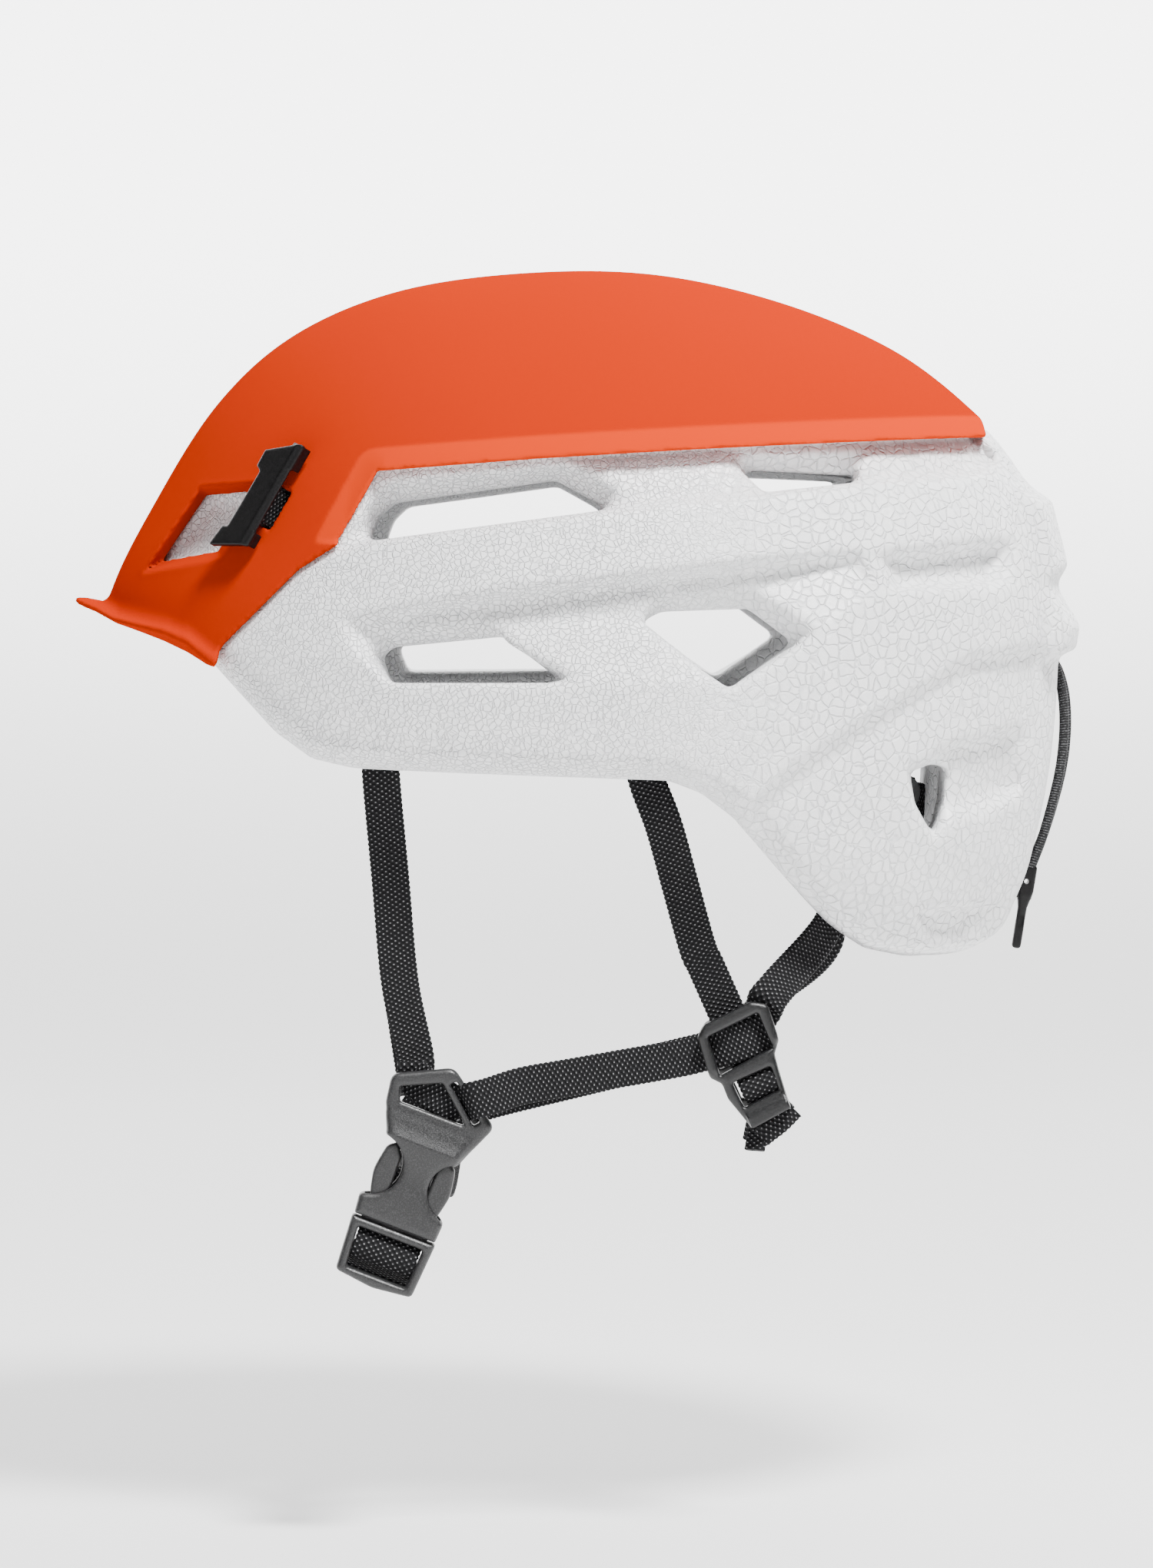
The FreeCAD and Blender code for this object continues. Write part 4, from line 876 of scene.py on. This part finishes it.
def webbing(name, stations, width=10.4, thick=1.3, mirrored=False):
    """Woven webbing along stations, with knuckled edges and yarns that stand out of both faces."""
    step = 0.36
    centres, widths, along = between(stations, step)
    runs = unit(np.gradient(centres, axis=0))
    heights = unit(np.cross(widths, runs))
    widths = np.cross(runs, heights)
    half, up = width / 2, thick / 2
    top = []
    for t in np.linspace(-1, 1, 31):
        fall = (1 - abs(t) ** 8) ** 0.5
        top.append((t * half, up * (0.28 + 0.72 * fall), t * half))
    section = top + [(x, -y, w) for x, y, w in reversed(top)]

    def knuckles(flat, along):
        edge = np.abs(flat[..., 0]) / half
        ripple = np.cos(along * math.pi / ROW_MM)[:, None] * np.sign(flat[..., 0])
        flat[..., 0] += ripple * 0.13 * edge ** 12
        yarn = np.cos(along * math.pi / ROW_MM)[:, None] * np.cos(flat[..., 2] * math.pi / COLUMN_MM)
        flat[..., 1] += 0.07 * yarn * np.sign(flat[..., 1])
        return flat

    return sweep(name, centres, widths, heights, along, section, webbing_mat, mirrored, knuckles)


def harness_x(z):
    """How far out the side webbing hangs."""
    return 79.5 - 6.4 * min(1.0, max(0.0, -z / 85.0))


def eased(point, right):
    """A harness point; on the right that side's webbing is let out."""
    if not right:
        return point
    return tuple(c + (p - c) * RIGHT_SLACK for p, c in zip(point, SLACK_LINE))


def hanging(start, end, right, count=4):
    (y1, z1), (y2, z2) = eased(start, right), eased(end, right)
    for t in np.linspace(0, 1, count):
        y, z = y1 + (y2 - y1) * t, z1 + (z2 - z1) * t
        yield np.array((harness_x(z), y, z))


def cavity_x(y, z, inset=0.0):
    size = np.array(CAVITY) - inset
    rest = 1 - ((y - CAVITY_AT[1]) / size[1]) ** 2 - (max(0.0, z - CAVITY_AT[2]) / size[2]) ** 2
    return size[0] * math.sqrt(max(0.0, rest))


def wall_normal(y, z):
    return unit(np.array((cavity_x(y, z) / CAVITY[0] ** 2, (y - CAVITY_AT[1]) / CAVITY[1] ** 2, 0)))


def wall_point(y, z, inset):
    return np.array((cavity_x(y, z), y, z)) - wall_normal(y, z) * inset


def facing(points, normals):
    """Stations for webbing through points, its face turned to each normal."""
    points = [np.array(p, float) for p in points]
    stations = []
    for i, point in enumerate(points):
        run = points[min(i + 1, len(points) - 1)] - points[max(i - 1, 0)]
        stations.append((point, unit(np.cross(run, normals[i]))))
    return stations


OUT = np.array((1.0, 0, 0))
FRAME_ENTRY = [(12.4, -47.0, -1.9), (10.6, -43.5, -1.3), (9.6, -41.0, -1.9)]
FOLD = [(10.5, -40.2, -1.0), (4.5, -38.8, 0.4), (-1.5, -37.6, 0.5), (-6.0, -36.6, -1.0)]


def front_webbing(name, right):
    """Round the lamp clip's bar, through the shell, down inside the foam and on to the buckle's frame."""
    clip = clip_plane()
    loop = []
    for angle in np.linspace(0, math.pi, 7):
        b, n = CLIP_BAR_B + LOOP_R * math.cos(angle), LOOP_N + LOOP_R * math.sin(angle)
        loop.append((clip.at(b, 0, n), clip.a))
    down = [(clip.at(CLIP_BAR_B + LOOP_R, 0, n), clip.a) for n in (-14, -6)]
    back = [(clip.at(CLIP_BAR_B - LOOP_R, 0, n), clip.a) for n in (-6, -14, -22)]
    low = clip.at(CLIP_BAR_B - LOOP_R, 0, -27.5)
    top = eased(FRONT_TOP, right)
    points, normals = [low], [np.array((1, -0.35, 0))]
    for share in (0.3, 0.5, 0.7, 0.88, 1.0):
        y, z = low[1] + (top[0] - low[1]) * share, low[2] + (top[1] + 6 - low[2]) * share
        points.append(np.array((cavity_x(y, z, 1.6), y, z)))
        normals.append(OUT)
    ring = buckle_plane(right)
    for point in list(hanging(FRONT_TOP, FRONT_END, right))[:3]:
        points.append(point)
        normals.append(OUT)
    points += ring.all_at(FRAME_ENTRY)
    normals += [OUT] * len(FRAME_ENTRY)
    loop_part = webbing(name, down + loop + back, thick=1.0, mirrored=right)
    free = webbing(name + "_free", facing(points, normals), mirrored=right)
    fold = webbing(name + "_fold", facing(ring.all_at(FOLD), [OUT] * len(FOLD)), mirrored=right)
    return join(name, [loop_part, free, fold])


def join(name, pieces):
    """Several meshes as one object."""
    with bpy.context.temp_override(active_object=pieces[0], selected_editable_objects=pieces,
                                   selected_objects=pieces, object=pieces[0]):
        bpy.ops.object.join()
    pieces[0].name = name
    return pieces[0]


def buckle_plane(right=False):
    return side_plane(eased(BUCKLE_AT, right), -BUCKLE_LEAN, BUCKLE_X)


def yoke_plane(right):
    y, z = eased(YOKE_AT, right)
    return side_plane((y, z), YOKE_LEAN, harness_x(z))


CORNER_TURN = [
    (-5.0, -38.3, -1.4), (-6.0, -39.2, 1.6), (-7.9, -40.8, 4.5), (-11.6, -43.4, 4.4), (-19.0, -49.0, 1.6),
]
YOKE_PASS = [(17.0, 6.0, -0.4), (9.5, 7.4, -0.4), (4.0, 8.3, 1.2), (-2.5, 8.8, 1.3), (-8.6, 9.0, -0.4)]
BEHIND_YOKE = [(5.0, 9.2, -2.0), (-3.0, 7.0, -2.0), (-9.5, 3.4, -1.6), (-14.5, -0.4, -0.6)]


def lower_webbing(name, right):
    """Out of the buckle frame's rear slot, over its corner and along to the yoke's window."""
    ring, yoke = buckle_plane(right), yoke_plane(right)
    points = ring.all_at(CORNER_TURN)
    end = yoke.at(*YOKE_PASS[0])
    points += [points[-1] + (end - points[-1]) * t for t in (0.3, 0.6)]
    points += yoke.all_at(YOKE_PASS)
    return webbing(name, facing(points, [OUT] * len(points)), mirrored=right)


def nape_webbing(name, right):
    """From behind the yoke's window up to the rim, and round the inside to the nape anchor."""
    points = yoke_plane(right).all_at(BEHIND_YOKE)
    normals = [OUT] * len(points)
    for ya, za in (eased(NAPE_ENTRY, right), *NAPE_ROUTE, NAPE_ANCHOR, *NAPE_END):
        points.append(wall_point(ya, za, 3.2))
        normals.append(wall_normal(ya, za))
    return webbing(name, facing(points, normals), mirrored=right)


LADDER = [
    (-14, -3.2), (0, -3.4), (10.0, -3.6), (15.5, -1.6), (17.8, 0.6), (19.6, 2.6), (21.8, 3.2), (24.0, 2.0),
    (25.6, -0.4), (28.0, -1.2), (31.0, -1.0),
]
TAIL = [(-6.2, 31.6, 0.6), (-1.5, 33.4, 1.2), (3.2, 34.6, 1.0), (5.6, 35.2, -0.6), (6.4, 34.6, -1.8)]
FLAP = [(3.4, 30.4, -1.8), (5.6, 33.6, -1.2), (8.4, 37.6, 0.4)]


def middle_webbing(name, right):
    """From its anchor in the foam, behind the yoke, out over the ladder lock and down to a sewn tail."""
    yoke = yoke_plane(right)
    y, z = eased(MID_TOP, right)
    points, normals = [], []
    for share in (-0.3, 0.5, 1.0):
        ya, za = MID_ANCHOR[0] + (y - MID_ANCHOR[0]) * share, MID_ANCHOR[1] + (z - MID_ANCHOR[1]) * share
        points.append(wall_point(ya, za, 3.2))
        normals.append(wall_normal(ya, za))
    goal = yoke.at(0, -20, -2.2)
    start = np.array((harness_x(z - 12), y + 4, z - 12))
    points += [start, (start + goal) / 2, goal]
    points += [yoke.at(0, a, n) for a, n in LADDER]
    normals += [OUT] * (3 + len(LADDER))
    strap = webbing(name, facing(points, normals), mirrored=right)
    hem = webbing(name + "_hem", facing(yoke.all_at(TAIL), [OUT] * len(TAIL)), 5.6, 2.0, right)
    lean = [OUT + yoke.b * 0.6] * len(FLAP)
    flap = webbing(name + "_flap", facing(yoke.all_at(FLAP), lean), 6.0, 1.9, right)
    return join(name, [strap, hem, flap])


CHIN_LADDER = [
    (14.9, -2.6), (13.6, -2.2), (11.8, 0.6), (10.4, 3.4), (8.2, 4.4), (5.6, 4.2), (3.6, 2.4),
    (2.6, -0.6), (0.8, -3.0), (-3.0, -4.6), (-8.0, -7.4), (-14.0, -14.0),
]


def chin_webbing(name):
    """Round the plug's ladder bar, behind the buckle and across under the chin to the right-hand frame."""
    plug, ring = buckle_plane(), buckle_plane(True)
    stations = [(plug.at(0, a, n), plug.b) for a, n in CHIN_LADDER]
    last = stations[-1][0]
    goal = ring.origin * np.array((-1, 1, 1)) + plug.a * -35.0 + np.array((6, 0, 0))
    for t in np.linspace(0, 1, 8)[1:]:
        stations.append((last + (goal - last) * t - np.array((0, 0, 10 * math.sin(math.pi * t))), plug.b))
    return webbing(name, stations, 18.2, 1.4)


# -------------------- elastic cord
def cord_points():
    """Up one strand, round inside the foam, and down the other."""
    last = len(CORD_ROUTE) - 1
    left, right = [], []
    for i, (y, z) in enumerate(CORD_ROUTE):
        x = 3.4 - 0.8 * i / last
        left.append(np.array((x, y, z)))
        right.append(np.array((-x, y + 1.2 * math.sin(math.pi * i / last), z)))
    return left[::-1] + right


def lamp_cord(name):
    points = cord_points()
    centres, _, along = between([(p, OUT) for p in points], 0.3)
    runs = unit(np.gradient(centres, axis=0))
    side = np.array((0.0, -0.35, 0.9))
    widths = []
    for run in runs:
        side = unit(side - run * side.dot(run))
        widths.append(side)
    widths = np.array(widths)
    heights = np.cross(widths, runs)
    turn = np.linspace(0, 2 * math.pi, 16, endpoint=False)
    section = [(CORD_R * math.cos(t), CORD_R * math.sin(t), t) for t in turn]
    return sweep(name, centres, widths, heights, along, section, cord_mat)


# -------------------- pads
def pad_form(name, low, high):
    """A plump pad lying on the cavity's wall within a box, before it is puffed up."""
    grid = Grid(PAD_CELL, np.array(low) - 6, np.array(high) + 6)
    layer = soft_max(grid.cavity(PAD_GAP), -grid.cavity(PAD_GAP + PAD_T), 2.5)
    for axis, (a, b) in zip((grid.x, grid.y, grid.z), zip(low, high)):
        layer = soft_max(layer, np.abs(axis - (a + b) / 2) - (b - a) / 2 + 1.2 + 0 * layer, 3.5)
    points, triangles, quads = grid.surface(layer)
    return faces_to_object(name, points * MM, triangles, quads)


def puff(pad):
    """Fills the pad like a stitched cushion: a short cloth run under pressure, with the movement capped."""
    scene = bpy.context.scene
    remesh = pad.modifiers.new("even", "REMESH")
    remesh.mode, remesh.voxel_size = "VOXEL", 0.004
    apply_modifiers(pad)
    before = np.array([v.co for v in pad.data.vertices])
    cloth = pad.modifiers.new("fill", "CLOTH")
    settings = cloth.settings
    settings.quality = 6
    settings.mass = 0.2
    settings.use_pressure = True
    settings.uniform_pressure_force = 4.0
    settings.effector_weights.gravity = 0.0
    cloth.point_cache.frame_start, cloth.point_cache.frame_end = 1, 12
    scene.frame_start, scene.frame_end = 1, 12
    for frame_number in range(1, 13):
        scene.frame_set(frame_number)
    apply_modifiers(pad)
    scene.frame_set(1)
    after = np.array([v.co for v in pad.data.vertices])
    shift = after - before
    reach = np.linalg.norm(shift, axis=1, keepdims=True)
    shift *= np.minimum(1, PUFF_LIMIT / np.maximum(reach, 1e-9))
    pad.data.vertices.foreach_set("co", (before + shift).astype(np.float32).ravel())
    smooth = pad.modifiers.new("smooth", "SUBSURF")
    smooth.levels = smooth.render_levels = 1
    apply_modifiers(pad)
    pad.data.polygons.foreach_set("use_smooth", np.ones(len(pad.data.polygons), bool))
    pad.data.update()


def apply_modifiers(obj):
    graph = bpy.context.evaluated_depsgraph_get()
    mesh = bpy.data.meshes.new_from_object(obj.evaluated_get(graph))
    obj.modifiers.clear()
    obj.data = mesh


def nape_pad_form():
    """The pad on the headband's bow."""
    grid = Grid(PAD_CELL, (-44, 60, -6), (44, 96, 28))
    share = np.sqrt((grid.x / BAND_OVAL[0]) ** 2 + ((grid.y - BAND_OVAL_Y) / BAND_OVAL[1]) ** 2) + 0 * grid.z
    bow = grid.as_distance(share)
    layer = soft_max(bow + 2.0, -(bow + 6.8), 2.5)
    layer = soft_max(layer, np.abs(grid.x) - 33 + 0 * layer, 4.0)
    layer = soft_max(layer, np.abs(grid.z - 10.5) - 8.6 + 0 * layer, 4.0)
    points, triangles, quads = grid.surface(layer)
    return faces_to_object("nape_pad_cover", points * MM, triangles, quads)


def build_pads():
    middle = pad_form("crown_pad_middle_cover", (-13, -62, 92), (13, 58, 130))
    brow = pad_form("brow_pad_cover", (-58, -120, 42), (58, -62, 66))
    left = pad_form("crown_pad_left_cover", (21, -50, 84), (42, 46, 130))
    nape = nape_pad_form()
    for pad in (middle, brow, left, nape):
        puff(pad)
    right = left.copy()
    right.data = left.data.copy()
    right.name = "crown_pad_right_cover"
    right.data.transform(Matrix.Scale(-1, 4, (1, 0, 0)))
    right.data.flip_normals()
    bpy.context.scene.collection.objects.link(right)
    for pad in (middle, brow, left, right, nape):
        node = pad.name.replace("_cover", "")
        settle(pad, node, "headband" if pad is nape else "helmet", pad_mat)


# -------------------- putting the pieces on their bodies
def settle(obj, node, body, look=None):
    """obj stands for a CAD node, rides on a body and takes one material slot."""
    if look:
        obj.data.materials.clear()
        obj.data.materials.append(look)
    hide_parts(node)
    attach(obj, body)


def bend(obj, node, start, end):
    """Webbing that goes from one body to another."""
    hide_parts(node)
    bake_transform(obj)


def build_foam():
    grid = Grid(FOAM_CELL, (0, -148, -60), (112, 150, 146))
    field = foam_field(grid)
    field = soft_max(field, -strap_slot(grid), 1.0)
    settle(grid.mesh("foam", eased_field(field)), "foam_body", "helmet", foam_mat)


def strap_slot(grid):
    """The slot under the lamp clip, for the front webbing."""
    clip = clip_plane()
    offsets = [grid.x - clip.origin[0], grid.y - clip.origin[1], grid.z - clip.origin[2]]
    n, b, a = [sum(o * v for o, v in zip(offsets, axis)) for axis in (clip.n, clip.b, clip.a)]
    reach = np.maximum(np.abs(b + 0.9) - 3.5, np.abs(a) - 6.0)
    return np.maximum(reach, np.abs(n + 21) - 24)


def build_shell():
    grid = Grid(SHELL_CELL, (0, -150, 24), (112, 120, 148))
    field = soft_max(shell_field(grid), -strap_slot(grid), 0.6)
    shell = grid.mesh("shell", field)
    mark_band(shell)
    settle(shell, "hard_shell", "helmet", shell_mat)


def build_clips():
    for side, right in (("left", False), ("right", True)):
        clip = moulded("clip_" + side, clip_plane(), clip_field, (-0.5, -7, -22), (9, 9, 20), 0.32,
                       clip_mat, right)
        settle(clip, "lamp_clip_" + side, "clip_" + side)


def build_harness():
    for side, right in (("left", False), ("right", True)):
        sign = np.array((-1 if right else 1, 1, 1))
        yoke, ring = yoke_plane(right), buckle_plane(right)
        front = front_webbing("front_webbing_" + side, right)
        settle(front, "long_webbing_" + side, "helmet")
        body = "yoke_" + side
        bend(lower_webbing("lower_webbing_" + side, right), "long_webbing_" + side,
             ring.at(-22, -50) * sign, yoke.at(14, 6) * sign)
        bend(nape_webbing("nape_webbing_" + side, right), "long_webbing_" + side,
             yoke.at(-9, 4) * sign, wall_point(*eased(NAPE_ENTRY, right), 3.2) * sign)
        top = np.array((harness_x(-5), *eased((21, -5), right)))
        bend(middle_webbing("yoke_webbing_" + side, right), "middle_webbing_" + side,
             top * sign, yoke.at(0, -6) * sign)
        divider = moulded("divider_" + side, yoke, yoke_field, (-0.6, -14, -3), (7, 14, 34), 0.3,
                          yoke_mat, right)
        settle(divider, "yoke_" + side, body)


def build_buckle():
    plane = buckle_plane()
    socket = moulded("socket", plane, socket_field, (-2, -19, -50), (8, 19, 2), 0.3, buckle_mat)
    settle(socket, "buckle_socket", "helmet")
    plug = moulded("plug", plane, plug_field, (-2, -15, -21), (8, 15, 20), 0.28, buckle_mat)
    settle(plug, "buckle_plug", "buckle_plug")
    for name, side in (("front", 1), ("rear", -1)):
        low, high = (0, min(0, side * 13), -25), (5.5, max(0, side * 13), 0)
        prong = moulded("prong_piece_" + name, plane, lambda grid: prong_field(grid, side), low, high, 0.25,
                        buckle_mat)
        settle(prong, "buckle_prong_" + name, "prong_" + name)
    ring = moulded("ring_right", buckle_plane(True), socket_frame_field, (-1.5, -19, -50), (5, 19, -18), 0.35,
                   buckle_mat, True)
    settle(ring, "webbing_frame_right", "helmet")
    far_end = buckle_plane(True).origin * (-1, 1, 1)
    bend(chin_webbing("chin_strap"), "chin_webbing", plane.at(0, 0, -3), far_end)


def build_cord():
    cord = lamp_cord("elastic_cord")
    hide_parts("lamp_cord")
    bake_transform(cord)
    y, z = TAB_AT
    down = unit(np.array((0, -0.16, -1.0)))
    plane = Plane((0, y, z), np.cross((1, 0, 0), down), (1, 0, 0), down)
    tab = moulded("pull_tab", plane, tab_field, (-3, -6, -11), (3, 6, 22), 0.22, clip_mat)
    settle(tab, "cord_tab", "cord_tab")


def dress_cad_nodes():
    """Good CAD pieces keep their shape and get their real finish."""
    looks = {"nape_band": band_mat, "band_keeper": band_mat, "anchor": band_mat, "cord_peg": band_mat,
             "pad_fasteners": fastener_mat}
    for obj in bpy.data.objects:
        for word, look in looks.items():
            if obj.type == "MESH" and not obj.hide_render and word in obj.name:
                obj.data.materials.clear()
                obj.data.materials.append(look)


build_foam()
build_shell()
build_clips()
build_harness()
build_buckle()
build_cord()
build_pads()
dress_cad_nodes()


# -------------------- stage, light and camera
CAMERA_X, CAMERA_Z = 1.72, 0.0619
LENS, SENSOR = 136.6, 36.0
FLOOR_Z = -0.21
WALL_GLOW = 4.6


def build_backdrop():
    """A pale floor that sweeps up into a backdrop behind the helmet."""
    profile = [(3.0, FLOOR_Z)]
    for angle in np.linspace(0, math.pi / 2, 13):
        profile.append((-1.2 - 0.8 * math.sin(angle), FLOOR_Z + 0.8 * (1 - math.cos(angle))))
    profile.append((-2.0, 4.0))
    points = [(x, y, z) for x, z in profile for y in (-5.0, 5.0)]
    quads = np.array([(2 * i, 2 * i + 1, 2 * i + 3, 2 * i + 2) for i in range(len(profile) - 1)])
    sweep_mesh = faces_to_object("backdrop", np.array(points), np.zeros((0, 3), int), quads)
    look = Look("backdrop paper", (0.7, 0.7, 0.7), 0.9, Emission_Color=(1, 1, 1, 1))
    height = look.axis(look.place(), "Z")
    look.set("Emission Strength", look.step(height, FLOOR_Z, FLOOR_Z + 0.5, 0.5, WALL_GLOW))
    sweep_mesh.data.materials.append(look.mat)


LIGHTS = (
    ("top", (0.75, 0.45, 1.3), 0.35, 72),
    ("fill", (1.7, -0.5, 0.5), 1.0, 5),
    ("backdrop_wash", (-0.9, 0.0, 1.8), 1.6, 10),
)


def build_stage():
    scene = bpy.context.scene
    data = bpy.data.cameras.new("camera")
    data.lens, data.sensor_width, data.sensor_height = LENS, SENSOR, SENSOR
    data.sensor_fit = "AUTO"
    data.shift_y = -0.144
    data.dof.use_dof = False
    camera = bpy.data.objects.new("camera", data)
    camera.location = (CAMERA_X, -0.0011, CAMERA_Z)
    camera.rotation_euler = (math.radians(90), 0, math.radians(90))
    scene.collection.objects.link(camera)
    scene.camera = camera
    world = bpy.data.worlds.new("world")
    world.use_nodes = True
    world.node_tree.nodes["Background"].inputs["Color"].default_value = (1, 1, 1, 1)
    world.node_tree.nodes["Background"].inputs["Strength"].default_value = 0.1
    scene.world = world
    for name, place, size, power in LIGHTS:
        lamp = bpy.data.lights.new(name, "AREA")
        lamp.size, lamp.energy = size, power
        obj = bpy.data.objects.new(name, lamp)
        obj.location = place
        aim = Vector((-1.6, 0, 0.3)) if name == "backdrop_wash" else Vector((0, 0, 0.02))
        obj.rotation_euler = (aim - Vector(place)).to_track_quat("-Z", "Y").to_euler()
        scene.collection.objects.link(obj)


build_backdrop()
build_stage()
